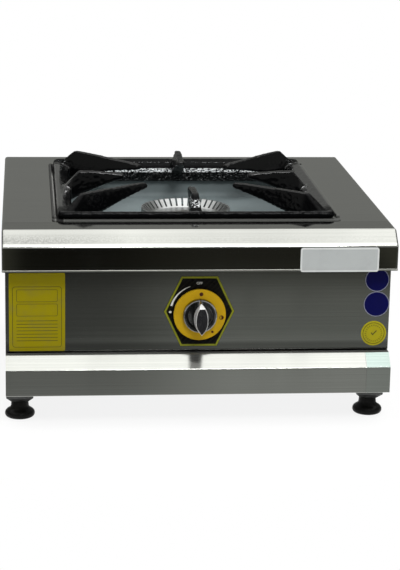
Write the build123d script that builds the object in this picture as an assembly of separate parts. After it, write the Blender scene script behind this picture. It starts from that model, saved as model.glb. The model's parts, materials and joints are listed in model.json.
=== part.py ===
"""Table-top gas stove with one ring burner, a cast pan grate and a push-and-turn gas tap.

Units are millimetres. X runs to the right, Y to the back and Z up. The origin lies on the
table under the middle of the stove. Every place is worked out from the sizes below.
"""
import os
from math import pi, sqrt, tan

from build123d import *

# General clearances
FIT = 0.5                 # between fixed sheet parts that slide into one another
RUN = 0.05                # radial running clearance of a shaft in its hole
EASE = 1.0                # between a lift-off piece and the opening it drops into

# Top plate: one folded sheet with a bevel along the front
WIDTH = 400.0
DEPTH = 400.0
PLATE_TOP_Z = 206.0
TOP_SHEET = 1.5
BEVEL_RUN = 16.5
BEVEL_DROP = 14.0
SKIRT_H = 26.0
FOLD_R = 3.0

# Cabinet under the top plate
BODY_SHEET = 1.2
BODY_INSET = 3.0
PANEL_SETBACK = 21.0
PANEL_FLANGE = 14.0
PANEL_BEND_R = 2.6
PANEL_GAP = 0.4
SIDE_FLANGE = 22.0
BASE_Z = 36.0
BASE_FACE_H = 27.5
BASE_BEVEL_RUN = 13.5
BASE_BEVEL_DROP = 12.3
BASE_RETURN = 24.0
BEND_R = 1.0
VENT_LENGTH = 60.0
VENT_WIDTH = 6.0
VENT_PITCH = 18.0
VENT_ROWS = 5

# Levelling feet
FOOT_INSET_X = 14.0       # from the side panel to the foot's axis
FOOT_INSET_Y = 47.0       # from the front and rear edges to the foot's axis
FOOT_SOLE_R = 12.4
FOOT_BULGE_R = 15.5
FOOT_BULGE_Z = 3.6
FOOT_NECK_R = 8.75
FOOT_H = 17.5
FOOT_GAP = 0.5
STUD_R = 4.0
STUD_TOP_Z = 34.0
FOOT_NUT_AF = 12.5
FOOT_NUT_H = 6.5
CUP_TOP = 28.0
CUP_MOUTH = 18.0
CUP_TAPER_H = 5.0
CUP_WALL = 1.5

# Drip tray that hangs in the top plate
TRAY_SHEET = 1.0
TRAY_WELL = 269.0
TRAY_RIM = 298.0
TRAY_DEPTH = 35.0         # from the plate's top down to the tray's floor
TRAY_CORNER_R = 14.0
TRAY_FLOOR_R = 6.0
BEAD_R = 2.0
BEAD_LENGTH = 276.0
COLLAR_GAP = 8.0          # between the bowl and the tray's collar
COLLAR_H = 5.0

# Cast pan grate
GRATE = 288.0
GRATE_INNER = 254.0
GRATE_CORNER_R = 6.0
RAIL_H = 8.0
RAIL_DRAFT = 2.0
RAIL_CREST = 2.0          # level strip along the top of the rail
RAIL_DISH = 6.0           # fall of the rail's top towards the middle
LIP_WALL = 5.0
LIP_DROP = 16.5
FINGER_H = 22.0           # above the rail's underside
FINGER_FOOT = 11.0        # from the rail's outer edge to the foot of a finger's slope
FINGER_SLOPE = 15.0
FINGER_LAND = 14.0        # level pan seat at a finger's peak
FINGER_FALL = 2.5
FINGER_TIP_GAP = 10.0     # from the collar out to the fingers' tips
FINGER_TIP_H = 6.5
FINGER_TOP_W = 6.6
FINGER_BASE_W = 13.0
FINGER_ROUND = 0.7

# Ring burner
CROWN_TOP_DROP = 18.0     # from the plate's top down to the crown
CROWN_STEP = 1.0          # the crown is this much smaller than the bowl
CROWN_LAND = 2.5
CROWN_RING = 10.0         # width of the ported ring
CROWN_CONE_H = 8.5
CROWN_SEAT_H = 14.0       # from the bowl's seat to the crown's top
CROWN_FLOOR = 4.0
SPIGOT_H = 4.0
SPIGOT_WALL = 2.8
HUB_R = 14.0
HUB_H = 4.5
PORTS = 40
PORT_W = 2.2
BOWL_R = 50.0
BOWL_FOOT_R = 31.0
BOWL_H = 44.0
BOWL_WALL = 4.2
BOWL_BAND_H = 6.0
TUBE_R = 14.5
TUBE_THROAT_R = 12.0
TUBE_BELL_R = 18.0
TUBE_WALL = 3.0
TUBE_RISE = 18.0          # from the bowl's foot to the tube's axis
TUBE_FLANGE_W = 55.0
TUBE_FLANGE_H = 30.0
TUBE_FLANGE_T = 4.0
TUBE_JOINT = 54.0         # from the burner's axis to the tube's flange
TUBE_BELL_L = 26.0
SHUTTER_T = 1.2
SHUTTER_WINDOWS = 4
BRIDGE_W = 40.0
BRIDGE_T = 2.0
BRIDGE_LEG = 24.0
BURNER_SCREW_X = 18.0
TUBE_SCREW_X = 21.5

# Gas tap and its pipes
KNOB_DROP = 88.8          # from the plate's top down to the spindle's axis
BRACKET_T = 2.0
BRACKET_STANDOFF = 15.8
BRACKET_W = 64.0
BRACKET_FOOT = 12.0
BRACKET_H = 40.0
TAP_R = 14.0
TAP_L = 36.0
TAP_NECK_R = 12.0
TAP_NECK_L = 6.0
TAP_FLANGE_W = 52.0
TAP_FLANGE_H = 26.0
TAP_FLANGE_T = 4.0
TAP_SCREW_X = 20.0
TAP_PORT = 10.5           # from the tap's flange back to its two ports
TAP_PORT_R = 9.0
TAP_INLET_X = 27.0
TAP_OUTLET_RISE = 18.5
PLUG_R = 8.0
PLUG_L = 20.0
PLUG_GAP = 1.0
PLUG_WAY_R = 2.2           # gas way across the plug
SOCKET_DEPTH = 15.0
SOCKET_R = 3.0
SOCKET_FLAT = 1.8
BONNET_HEAD_R = 11.5
BONNET_HEAD_T = 2.5
MAGNET_R = 10.0
MAGNET_L = 22.0
MAGNET_NUT_AF = 14.0
MAGNET_NUT_L = 7.0
ELBOW_R = 7.0
ELBOW_ARM = 18.0
INJECTOR_AF = 11.0
INJECTOR_HEX_L = 6.0
INJECTOR_TIP_L = 11.0
INJECTOR_R = 4.0
INJECTOR_NOSE_R = 2.2
INJECTOR_HOLE_R = 0.7
INJECTOR_REACH = 7.5      # of its nose into the bell mouth
PIPE_R = 6.0
PIPE_WALL = 1.2
PIPE_BEND = 30.0
PIPE_SEAT = 8.0           # length of pipe inside each fitting
PIPE_NUT_AF = 19.0
PIPE_NUT_L = 10.0
INLET_X = 120.0
INLET_R = 10.48           # half-inch gas thread over its crests
INLET_NECK_R = 11.5       # through the panel and the locknut
INLET_RELIEF_R = 9.4      # groove where the gas thread runs out
INLET_RELIEF_L = 2.0
INLET_BORE_R = 5.0
INLET_HEX_AF = 27.0
INLET_HEX_L = 9.0
INLET_SPIGOT_R = 9.0
INLET_SPIGOT_L = 10.0
LOCK_NUT_AF = 30.0
LOCK_NUT_L = 5.0
PROBE_R = 2.5
PROBE_GAP = 0.7           # between the probe and the bowl
PROBE_TOP = 2.0           # above the crown
PROBE_L = 42.0
LEAD_R = 1.4
LEAD_BEND = 12.0
LEAD_TURN = 34.0          # straight lead behind the tap before it turns away
CLIP_L = 12.0
CLIP_W = 9.0
CLIP_T = 4.0
CLIP_DROP = 26.0          # from the crown's top down to the clip

# Knob and spindle
SPINDLE_R = 4.0
PUSH = 4.0
PUSH_REST = 1.0           # gap left behind the pushed-in knob
PANEL_HOLE_R = 7.0
DIAL_W = 72.6
DIAL_H = 74.0
DIAL_FLAT = 37.5
DIAL_RISE = 1.8           # middle of the plate above the spindle's axis
DIAL_T = 0.6
SKIRT_RING_R = 26.75
SKIRT_RING_T = 3.4
SKIRT_RING_CONE = 0.9
KNOB_R = 17.5
KNOB_BASE = 9.0           # depth of the knob's round part
KNOB_RIM = 2.0
KNOB_DEPTH = 29.4         # from the knob's back to the grip's face
KNOB_SCOOP = 3.0
GRIP_LENGTH = 36.5
GRIP_W = 10.0
GRIP_BASE_W = 14.5
GRIP_END = 2.4            # flat left on the grip's pointed ends
GRIP_BACK = 6.0           # how far the grip's ends lean back
CORE_R = 11.0
CORE_DEPTH = 4.6
SPINDLE_GRIP = 14.0       # length of spindle inside the knob
CLIP_RING_R = 6.3
CLIP_RING_T = 1.0
SPRING_WIRE_R = 0.4
SPRING_R = 5.3
SPRING_TURNS = 5

# Fasteners
SCREW_R = 2.0
SCREW_HEAD_R = 3.6
SCREW_HEAD_T = 2.2
SCREW_L = 8.0
SHEET_SCREW_L = 3.0       # through two sheets and no further
REAR_SCREW_Z = (70.0, 150.0)
PLATE_SCREW_X = 150.0
PLATE_SCREW_DROP = 26.0
BASE_SCREW_Y = 110.0

# Places that follow from the sizes
FRONT_Y = -DEPTH / 2
REAR_Y = DEPTH / 2
SKIRT_Z = PLATE_TOP_Z - BEVEL_DROP - SKIRT_H
UNDER_Z = PLATE_TOP_Z - TOP_SHEET
FOLD_CLEAR_Z = UNDER_Z - FOLD_R
SIDE_X = WIDTH / 2 - BODY_INSET
SIDE_IN_X = SIDE_X - BODY_SHEET
PANEL_Y = FRONT_Y + PANEL_SETBACK
PANEL_IN_Y = PANEL_Y + BODY_SHEET
BACK_Y = REAR_Y - TOP_SHEET
BACK_IN_Y = BACK_Y - BODY_SHEET
BASE_FOLD_Z = BASE_Z + BASE_FACE_H
BASE_TOP_Z = BASE_FOLD_Z + BASE_BEVEL_DROP
PANEL_FOOT_Z = BASE_TOP_Z + PANEL_GAP
SIDE_FOOT_Z = BASE_Z + BODY_SHEET
PAN_Z = SIDE_FOOT_Z + BODY_SHEET
FOOT_X = SIDE_X - FOOT_INSET_X
FOOT_Y = DEPTH / 2 - FOOT_INSET_Y
CUP_Z = FOOT_H + FOOT_GAP
RIM_Z = PLATE_TOP_Z + TRAY_SHEET
TRAY_FLOOR_Z = PLATE_TOP_Z - TRAY_DEPTH
TRAY_UNDER_Z = TRAY_FLOOR_Z - TRAY_SHEET
GRATE_LIP = GRATE_INNER + 2 * LIP_WALL
LIP_CORNER_R = TRAY_CORNER_R - (TRAY_WELL - GRATE_LIP) / 2
COLLAR_R = BOWL_R + COLLAR_GAP
FINGER_TIP_R = COLLAR_R + FINGER_TIP_GAP
CROWN_R = BOWL_R - CROWN_STEP
CROWN_CONE_R = CROWN_R - CROWN_RING
CROWN_Z = PLATE_TOP_Z - CROWN_TOP_DROP
SEAT_Z = CROWN_Z - CROWN_SEAT_H
BOWL_Z = SEAT_Z - BOWL_H
TUBE_Z = BOWL_Z + TUBE_RISE
KNOB_Z = PLATE_TOP_Z - KNOB_DROP
WEB_Y = PANEL_IN_Y + BRACKET_STANDOFF
TAP_Y = WEB_Y + BRACKET_T
TAP_END_Y = TAP_Y + TAP_FLANGE_T + TAP_L
PORT_Y = TAP_Y + TAP_FLANGE_T + TAP_PORT
NOSE_Y = PORT_Y + ELBOW_ARM + INJECTOR_HEX_L
TUBE_MOUTH_Y = NOSE_Y + INJECTOR_TIP_L - INJECTOR_REACH
OUTLET_Z = KNOB_Z + TAP_OUTLET_RISE
NECK_Y = TAP_Y - TAP_NECK_L
PLUG_Y = TAP_Y + PLUG_GAP
BONNET_Y = NECK_Y - BONNET_HEAD_T
DIAL_Y = PANEL_Y - DIAL_T
KNOB_Y = DIAL_Y - PUSH - PUSH_REST
KNOB_TIP_Y = KNOB_Y - KNOB_DEPTH
INLET_END_Y = -KNOB_TIP_Y
MAGNET_END_Y = TAP_END_Y + MAGNET_L + MAGNET_NUT_L
PROBE_AT = BOWL_R + PROBE_GAP + PROBE_R
PROBE_XY = PROBE_AT / sqrt(2)


def block(x_span, y_span, z_span):
    """A box between two values on each axis."""
    spans = (x_span, y_span, z_span)
    middle = [(low + high) / 2 for low, high in spans]
    size = [high - low for low, high in spans]
    return Pos(*middle) * Box(*size)


def rod_x(radius, x_span, y, z):
    """A round bar along X."""
    return Pos(sum(x_span) / 2, y, z) * Rot(0, 90, 0) * Cylinder(radius, x_span[1] - x_span[0])


def rod_y(radius, y_span, x=0.0, z=KNOB_Z):
    """A round bar along Y, on the spindle's axis unless told otherwise."""
    return Pos(x, sum(y_span) / 2, z) * Rot(90, 0, 0) * Cylinder(radius, y_span[1] - y_span[0])


def rod_z(radius, z_span, x=0.0, y=0.0):
    """A round bar along Z."""
    return Pos(x, y, sum(z_span) / 2) * Cylinder(radius, z_span[1] - z_span[0])


def hexagon_y(across_flats, y_span, x=0.0, z=KNOB_Z):
    """A hexagonal bar along Y, sized over its flats."""
    face = Plane((x, y_span[0], z), x_dir=(1, 0, 0), z_dir=(0, 1, 0)) * flat_hexagon(across_flats)
    return extrude(face, y_span[1] - y_span[0])


def flat_hexagon(across_flats):
    """A regular hexagon sized over its flats."""
    return RegularPolygon(across_flats / 2, 6, major_radius=False)


def screw(x, y, z, away, length=SCREW_L):
    """A pan-head screw whose head sits on the point, on the side that away names."""
    head = Pos(0, 0, SCREW_HEAD_T / 2) * Cylinder(SCREW_HEAD_R, SCREW_HEAD_T)
    head = fillet(head.edges().group_by(Axis.Z)[-1], SCREW_HEAD_T / 2)
    shank = Pos(0, 0, -length / 2) * Cylinder(SCREW_R, length)
    return Plane((x, y, z), z_dir=away) * (head + shank)


def inner_outline(outline, sheet):
    """The outline moved to its left by one sheet thickness, with mitred corners."""
    points = [Vector(*point) for point in outline]
    runs = [(after - before).normalized() for before, after in zip(points, points[1:])]
    sides = [Vector(-run.Y, run.X) for run in runs]
    inner = [points[0] + sides[0] * sheet]
    for corner, before, after in zip(points[1:], sides, sides[1:]):
        inner.append(corner + (before + after) * (sheet / (1 + before.dot(after))))
    inner.append(points[-1] + sides[-1] * sheet)
    return inner


def folded_sheet(outline, sheet, half_width):
    """A sheet folded along an outline in the YZ plane and drawn out to both sides."""
    section = make_face(Polyline(*outline, *reversed(inner_outline(outline, sheet)), close=True))
    return extrude(Plane.YZ * section, half_width, both=True)


def vents(columns, rows, plane):
    """A grid of round-ended slots through a sheet, set out on a plane."""
    pitch_x = VENT_LENGTH + VENT_PITCH
    slot = SlotOverall(VENT_LENGTH, VENT_WIDTH)
    grid = Sketch() + [place * slot for place in GridLocations(pitch_x, VENT_PITCH, columns, rows)]
    return extrude(plane * grid, 2 * BODY_SHEET, both=True)


def cap_block(inset, lower):
    """The solid that the top plate wraps, made smaller by an inset and longer below."""
    corners = [
        (FRONT_Y, SKIRT_Z - lower),
        (FRONT_Y, PLATE_TOP_Z - BEVEL_DROP),
        (FRONT_Y + BEVEL_RUN, PLATE_TOP_Z),
        (REAR_Y, PLATE_TOP_Z),
        (REAR_Y, SKIRT_Z - lower),
    ]
    face = make_face(Polyline(*corners, close=True))
    if inset:
        face = offset(face, -inset, kind=Kind.INTERSECTION)
    solid = extrude(Plane.YZ * face, WIDTH / 2 - inset, both=True)
    upper = solid.edges().filter_by(lambda edge: edge.center().Z > SKIRT_Z + FOLD_R)
    return fillet(upper, FOLD_R - inset)


def top_plate():
    """Folded top with a square opening for the drip tray."""
    shell = cap_block(0.0, 0.0) - cap_block(TOP_SHEET, 2 * TOP_SHEET)
    opening = TRAY_WELL + 2 * (TRAY_SHEET + EASE)
    hole = RectangleRounded(opening, opening, TRAY_CORNER_R + EASE)
    shell -= extrude(Plane.XY.offset(PLATE_TOP_Z) * hole, 2 * TOP_SHEET, both=True)
    screw_z = PLATE_TOP_Z - PLATE_SCREW_DROP
    return shell - [rod_y(SCREW_R, (BACK_Y, REAR_Y), x, screw_z) for x in plate_screw_places()]


def plate_screw_places():
    """Where the screws sit along the top plate's rear skirt."""
    return (-PLATE_SCREW_X, 0.0, PLATE_SCREW_X)


def base_outline():
    """Section of the base's front: top edge, bevel, face and return under the cabinet."""
    return [
        (PANEL_Y, BASE_TOP_Z),
        (FRONT_Y + BASE_BEVEL_RUN, BASE_TOP_Z),
        (FRONT_Y, BASE_FOLD_Z),
        (FRONT_Y, BASE_Z),
        (FRONT_Y + BASE_RETURN, BASE_Z),
    ]


def base_front():
    """Bevelled front of the base, folded from one sheet."""
    part = folded_sheet(base_outline(), BODY_SHEET, SIDE_X)
    bends = part.edges().filter_by(Axis.X).filter_by(
        lambda edge: edge.center().Y < FRONT_Y + EASE or edge.center().Z > BASE_TOP_Z - EASE / 2
    )
    bends = bends.filter_by(lambda edge: edge.center().Y < PANEL_Y - EASE)
    return fillet(bends, BEND_R)


def control_panel():
    """Set-back front panel with flanges behind its top and bottom edges."""
    outline = [
        (PANEL_Y + PANEL_FLANGE, UNDER_Z),
        (PANEL_Y, UNDER_Z),
        (PANEL_Y, PANEL_FOOT_Z),
        (PANEL_Y + PANEL_FLANGE, PANEL_FOOT_Z),
    ]
    panel = folded_sheet(outline, BODY_SHEET, SIDE_IN_X - FIT)
    panel += block((-SIDE_X, SIDE_X), (PANEL_Y, PANEL_IN_Y), (PANEL_FOOT_Z, UNDER_Z))
    foot = panel.edges().filter_by(Axis.X).group_by(Axis.Y)[0].sort_by(Axis.Z)[0]
    panel = fillet(foot, PANEL_BEND_R)
    return panel - rod_y(PANEL_HOLE_R, (PANEL_Y - EASE, PANEL_IN_Y + EASE))


def side_panel():
    """Right-hand side with flanges under the plate, over the feet and at the back."""
    trim = inner_outline(base_outline(), BODY_SHEET)
    corners = [
        (PANEL_IN_Y, UNDER_Z),
        (PANEL_IN_Y, trim[0].Y),
        (trim[1].X, trim[1].Y),
        (trim[2].X, trim[2].Y),
        (trim[3].X, trim[3].Y),
        (BACK_IN_Y, SIDE_FOOT_Z),
        (BACK_IN_Y, FOLD_CLEAR_Z),
        (BACK_IN_Y - FOLD_R, UNDER_Z),
    ]
    face = make_face(Polyline(*corners, close=True))
    panel = extrude(Plane.YZ.offset(SIDE_IN_X) * face, BODY_SHEET)
    flange_x = (SIDE_IN_X - SIDE_FLANGE, SIDE_IN_X)
    top_y = (PANEL_Y + PANEL_FLANGE + FIT, BACK_IN_Y - FOLD_R)
    foot_y = (trim[3].X, BACK_IN_Y)
    panel += block(flange_x, top_y, (UNDER_Z - BODY_SHEET, UNDER_Z))
    panel += block(flange_x, foot_y, (SIDE_FOOT_Z, PAN_Z))
    panel += block(flange_x, (BACK_IN_Y - BODY_SHEET, BACK_IN_Y), (SIDE_FOOT_Z, FOLD_CLEAR_Z))
    rear_y = (BACK_IN_Y - EASE - BODY_SHEET, BACK_Y)
    panel -= [rod_y(SCREW_R, rear_y, rear_screw_x(), z) for z in REAR_SCREW_Z]
    panel -= [rod_z(SCREW_R, (BASE_Z, PAN_Z + EASE), rear_screw_x(), side * BASE_SCREW_Y) for side in (-1, 1)]
    for y in (-FOOT_Y, FOOT_Y):
        panel -= rod_z(STUD_R + FIT, (SIDE_FOOT_Z, PAN_Z), FOOT_X, y)
    return panel


def rear_screw_x():
    """Middle of the side panels' flanges."""
    return SIDE_IN_X - SIDE_FLANGE / 2


def rear_panel():
    """Flat back with the gas inlet's hole, air vents and screw holes."""
    panel = block((-SIDE_X, SIDE_X), (BACK_IN_Y, BACK_Y), (SIDE_FOOT_Z, FOLD_CLEAR_Z))
    panel -= rod_y(INLET_NECK_R + FIT, (BACK_IN_Y, BACK_Y), INLET_X)
    panel -= vents(2, VENT_ROWS, Plane((-VENT_LENGTH, BACK_Y, KNOB_Z), x_dir=(1, 0, 0), z_dir=(0, 1, 0)))
    panel -= [rod_y(SCREW_R, (BACK_IN_Y, BACK_Y), x, z) for x, z in rear_screw_places()]
    return panel - [
        rod_y(SCREW_R, (BACK_IN_Y, BACK_Y), x, PLATE_TOP_Z - PLATE_SCREW_DROP) for x in plate_screw_places()
    ]


def rear_screw_places():
    """Where the rear panel is screwed to the side panels, as x and z."""
    return [(side * rear_screw_x(), z) for side in (-1, 1) for z in REAR_SCREW_Z]


def base_pan():
    """Bottom sheet on the side flanges, with slots that let air in under the burner."""
    half = SIDE_IN_X - FIT
    span_y = (FRONT_Y + BODY_SHEET + FIT, BACK_IN_Y - BODY_SHEET - FIT)
    pan = block((-half, half), span_y, (PAN_Z, PAN_Z + BODY_SHEET))
    pan -= vents(3, VENT_ROWS, Plane.XY.offset(PAN_Z))
    pan -= [rod_z(SCREW_R, (PAN_Z, PAN_Z + BODY_SHEET), x, y) for x, y in base_screw_places()]
    return pan - [rod_z(STUD_R + FIT, (PAN_Z, PAN_Z + BODY_SHEET), x, y) for x, y in foot_places()]


def base_screw_places():
    """Where the bottom sheet is screwed to the side flanges, as x and y."""
    return [(side * rear_screw_x(), y) for side in (-1, 1) for y in (-BASE_SCREW_Y, BASE_SCREW_Y)]


def foot_places():
    """Axes of the four feet: front left, front right, rear left, rear right."""
    return [(-FOOT_X, -FOOT_Y), (FOOT_X, -FOOT_Y), (-FOOT_X, FOOT_Y), (FOOT_X, FOOT_Y)]


def cup_solid(inset):
    """Square cup that narrows to the foot, made smaller by an inset."""
    top = RectangleRounded(CUP_TOP - 2 * inset, CUP_TOP - 2 * inset, CUP_WALL + FIT)
    mouth = RectangleRounded(CUP_MOUTH - 2 * inset, CUP_MOUTH - 2 * inset, CUP_WALL + FIT)
    mouth_z = CUP_Z + inset
    shoulder_z = CUP_Z + CUP_TAPER_H + inset * tan(pi / 8)
    taper = loft([Plane.XY.offset(mouth_z) * mouth, Plane.XY.offset(shoulder_z) * top])
    return taper + extrude(Plane.XY.offset(shoulder_z) * top, SIDE_FOOT_Z - shoulder_z)


def foot_cup():
    """Pressed cup under the cabinet that holds a foot's nut."""
    cup = cup_solid(0.0) - cup_solid(CUP_WALL)
    return cup - rod_z(STUD_R + FIT, (CUP_Z - EASE, CUP_Z + CUP_WALL + EASE))


def foot_nut():
    """Weld nut for the levelling stud."""
    nut = extrude(Plane.XY.offset(CUP_Z + CUP_WALL) * flat_hexagon(FOOT_NUT_AF), FOOT_NUT_H)
    return nut - rod_z(STUD_R + RUN, (CUP_Z, CUP_Z + CUP_WALL + FOOT_NUT_H))


def foot_pad():
    """Turned foot: flat sole, rounded bulge and a waisted neck."""
    sole = (FOOT_SOLE_R, 0)
    bulge = (FOOT_BULGE_R, FOOT_BULGE_Z)
    waist = (FOOT_NECK_R + FIT, FOOT_H / 2 + FOOT_BULGE_Z)
    top = (FOOT_NECK_R, FOOT_H)
    rim = TangentArc(bulge, sole, tangent=(0, -1))
    flare = Spline(bulge, waist, tangents=((0, 1), (-0.1, 1)))
    inside = Polyline(waist, top, (0, FOOT_H), (0, 0), sole)
    pad = revolve(Plane.XZ * make_face([inside, rim, flare]), Axis.Z)
    return pad - rod_z(STUD_R, (FOOT_H / 2, FOOT_H))


def foot_stud():
    """Threaded stud, plain at its outer diameter, with a chamfered top."""
    stud = rod_z(STUD_R, (FOOT_H / 2, STUD_TOP_Z))
    return chamfer(stud.edges().group_by(Axis.Z)[-1], STUD_R / 5)


def drip_tray():
    """Pressed pan with a flat rim, rolled side edges and a collar round the burner."""
    well = RectangleRounded(TRAY_WELL, TRAY_WELL, TRAY_CORNER_R)
    outside = TRAY_WELL + 2 * TRAY_SHEET
    shell = RectangleRounded(outside, outside, TRAY_CORNER_R + TRAY_SHEET)
    outer = extrude(Plane.XY.offset(TRAY_UNDER_Z) * shell, RIM_Z - TRAY_UNDER_Z)
    outer = fillet(outer.edges().group_by(Axis.Z)[0], TRAY_FLOOR_R + TRAY_SHEET)
    inner = extrude(Plane.XY.offset(TRAY_FLOOR_Z) * well, RIM_Z - TRAY_FLOOR_Z)
    inner = fillet(inner.edges().group_by(Axis.Z)[0], TRAY_FLOOR_R)
    rim = RectangleRounded(TRAY_RIM, TRAY_RIM, TRAY_CORNER_R / 2)
    tray = outer + extrude(Plane.XY.offset(PLATE_TOP_Z) * rim, TRAY_SHEET) - inner
    tray += rod_z(COLLAR_R, (TRAY_UNDER_Z, TRAY_FLOOR_Z + COLLAR_H))
    tray -= rod_z(COLLAR_R - TRAY_SHEET, (TRAY_UNDER_Z - EASE, TRAY_FLOOR_Z + COLLAR_H + EASE))
    bead = Rot(90, 0, 0) * Cylinder(BEAD_R, BEAD_LENGTH)
    bead = fillet(bead.edges(), BEAD_R / 2)
    bead_x = TRAY_RIM / 2 - BEAD_R
    return tray + [Pos(side * bead_x, 0, PLATE_TOP_Z + BEAD_R) * bead for side in (-1, 1)]


def square_loft(low, high, low_z, high_z):
    """A square block that tapers from one size to another."""
    faces = [
        Plane.XY.offset(low_z) * RectangleRounded(low, low, GRATE_CORNER_R),
        Plane.XY.offset(high_z) * RectangleRounded(high, high, GRATE_CORNER_R),
    ]
    return loft(faces)


def grate_frame():
    """Square rail with draft on both outer faces, a dished top and a locating lip below."""
    ridge_z = RIM_Z + RAIL_H / 2
    top_z = RIM_Z + RAIL_H
    narrow = GRATE - 2 * RAIL_DRAFT
    dish_z = top_z - RAIL_DISH
    frame = square_loft(narrow, GRATE, RIM_Z, ridge_z) + square_loft(GRATE, narrow, ridge_z, top_z)
    frame -= square_loft(GRATE_INNER, narrow - 2 * RAIL_CREST, dish_z, top_z)
    lip = RectangleRounded(GRATE_LIP, GRATE_LIP, LIP_CORNER_R)
    frame += extrude(Plane.XY.offset(RIM_Z - LIP_DROP) * lip, LIP_DROP)
    hole = RectangleRounded(GRATE_INNER, GRATE_INNER, LIP_CORNER_R - LIP_WALL)
    return frame - extrude(Plane.XY.offset(RIM_Z) * hole, GRATE, both=True)


def grate_finger(stretch):
    """One finger along +X; stretch is 1 to a side's middle and root two to a corner."""
    top_z = RIM_Z + FINGER_H
    tip_z = top_z - FINGER_FALL
    rail_z = RIM_Z + RAIL_H - RAIL_DISH
    foot = stretch * (GRATE / 2 - FINGER_FOOT)
    peak = stretch * (GRATE / 2 - FINGER_FOOT - FINGER_SLOPE)
    root_r = stretch * (GRATE_LIP - LIP_WALL) / 2 - (stretch - 1) * LIP_CORNER_R
    root = (root_r, RIM_Z - LIP_DROP + LIP_WALL)
    nose = (FINGER_TIP_R + FINGER_TIP_H / 2, tip_z)
    chin = (FINGER_TIP_R + FINGER_TIP_H / 2, tip_z - FINGER_TIP_H)
    arch = ((chin[0] + root[0]) / 2, (chin[1] + root[1]) / 2 + LIP_WALL / 2)
    toe = (foot, RIM_Z + RAIL_H - RAIL_CREST)
    edges = [
        Line(root, (root_r, rail_z)),
        Line((root_r, rail_z), (foot, rail_z)),
        Line((foot, rail_z), toe),
        Line(toe, (peak, top_z)),
        Line((peak, top_z), (peak - FINGER_LAND, top_z)),
        Line((peak - FINGER_LAND, top_z), nose),
        ThreePointArc(nose, (FINGER_TIP_R, tip_z - FINGER_TIP_H / 2), chin),
        ThreePointArc(chin, arch, root),
    ]
    side = extrude(Plane.XZ * make_face(edges), FINGER_BASE_W, both=True)
    wedge = [
        (-FINGER_TOP_W / 2, top_z),
        (FINGER_TOP_W / 2, top_z),
        (FINGER_BASE_W / 2, rail_z),
        (FINGER_BASE_W / 2, RIM_Z - LIP_DROP),
        (-FINGER_BASE_W / 2, RIM_Z - LIP_DROP),
        (-FINGER_BASE_W / 2, rail_z),
    ]
    finger = side & extrude(Plane.YZ * make_face(Polyline(*wedge, close=True)), GRATE)
    rail_top_z = RIM_Z + RAIL_H - FINGER_ROUND
    upper = finger.edges().filter_by(lambda edge: edge.center().Z > rail_top_z)
    return fillet(upper.filter_by(lambda edge: abs(edge.center().Y) > FINGER_TOP_W / 3), FINGER_ROUND)


def grate():
    """Cast grate: four fingers to the sides and four longer ones to the corners."""
    fingers = []
    for quarter in range(4):
        fingers.append(Rot(0, 0, 90 * quarter) * grate_finger(1.0))
        fingers.append(Rot(0, 0, 90 * quarter + 45) * grate_finger(sqrt(2)))
    return grate_frame() + fingers


def burner_cap():
    """Crown with radial ports round a dished middle, seated on the bowl by a spigot."""
    land_r = CROWN_R - CROWN_LAND
    cone_z = CROWN_Z - CROWN_CONE_H
    floor_z = cone_z - CROWN_FLOOR
    spigot_r = BOWL_R - BOWL_WALL - FIT
    wall_r = spigot_r - SPIGOT_WALL
    corners = [
        (HUB_R, cone_z),
        (CROWN_CONE_R, cone_z),
        (land_r, CROWN_Z),
        (CROWN_R, CROWN_Z),
        (CROWN_R, SEAT_Z),
        (spigot_r, SEAT_Z),
        (spigot_r, SEAT_Z - SPIGOT_H),
        (wall_r, SEAT_Z - SPIGOT_H),
        (wall_r, floor_z + CROWN_FLOOR),
        (CROWN_CONE_R - CROWN_FLOOR / 2, floor_z),
        (0, floor_z),
        (0, cone_z + HUB_H),
    ]
    hub = ThreePointArc((0, cone_z + HUB_H), (HUB_R * 0.6, cone_z + HUB_H * 0.75), (HUB_R, cone_z))
    cap = revolve(Plane.XZ * make_face([Polyline(*corners), hub]), Axis.Z)
    port_l = CROWN_R - CROWN_CONE_R + EASE
    port = Box(port_l, PORT_W, CROWN_CONE_H)
    ports = [place * port for place in PolarLocations(CROWN_CONE_R + port_l / 2, PORTS)]
    return cap - [Pos(0, 0, CROWN_Z - CROWN_CONE_H / 2 + PORT_W / 2) * cut for cut in ports]


def burner_bowl():
    """Cast bowl under the crown, with a boss at the front for the mixing tube."""
    band_z = SEAT_Z - BOWL_BAND_H
    corners = [
        (0, BOWL_Z),
        (BOWL_FOOT_R, BOWL_Z),
        (BOWL_R, band_z),
        (BOWL_R, SEAT_Z),
        (BOWL_R - BOWL_WALL, SEAT_Z),
        (BOWL_R - BOWL_WALL, band_z),
        (BOWL_FOOT_R - BOWL_WALL, BOWL_Z + BOWL_WALL),
        (0, BOWL_Z + BOWL_WALL),
    ]
    bowl = revolve(Plane.XZ * make_face(Polyline(*corners, close=True)), Axis.Z)
    boss = tube_flange(-TUBE_JOINT, 0.0)
    hollow = [(0, BOWL_Z)] + corners[1:3] + [(BOWL_R, SEAT_Z), (0, SEAT_Z)]
    boss -= revolve(Plane.XZ * make_face(Polyline(*hollow, close=True)), Axis.Z)
    bowl += boss
    bowl -= rod_y(TUBE_R - TUBE_WALL, (-TUBE_JOINT - EASE, -BOWL_FOOT_R / 2), 0.0, TUBE_Z)
    for side in (-1, 1):
        bowl -= rod_y(SCREW_R, (-TUBE_JOINT, SCREW_L - TUBE_JOINT), side * TUBE_SCREW_X, TUBE_Z)
        bowl -= rod_z(SCREW_R, (BOWL_Z, BOWL_Z + SCREW_L), side * BURNER_SCREW_X)
    return bowl


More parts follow.
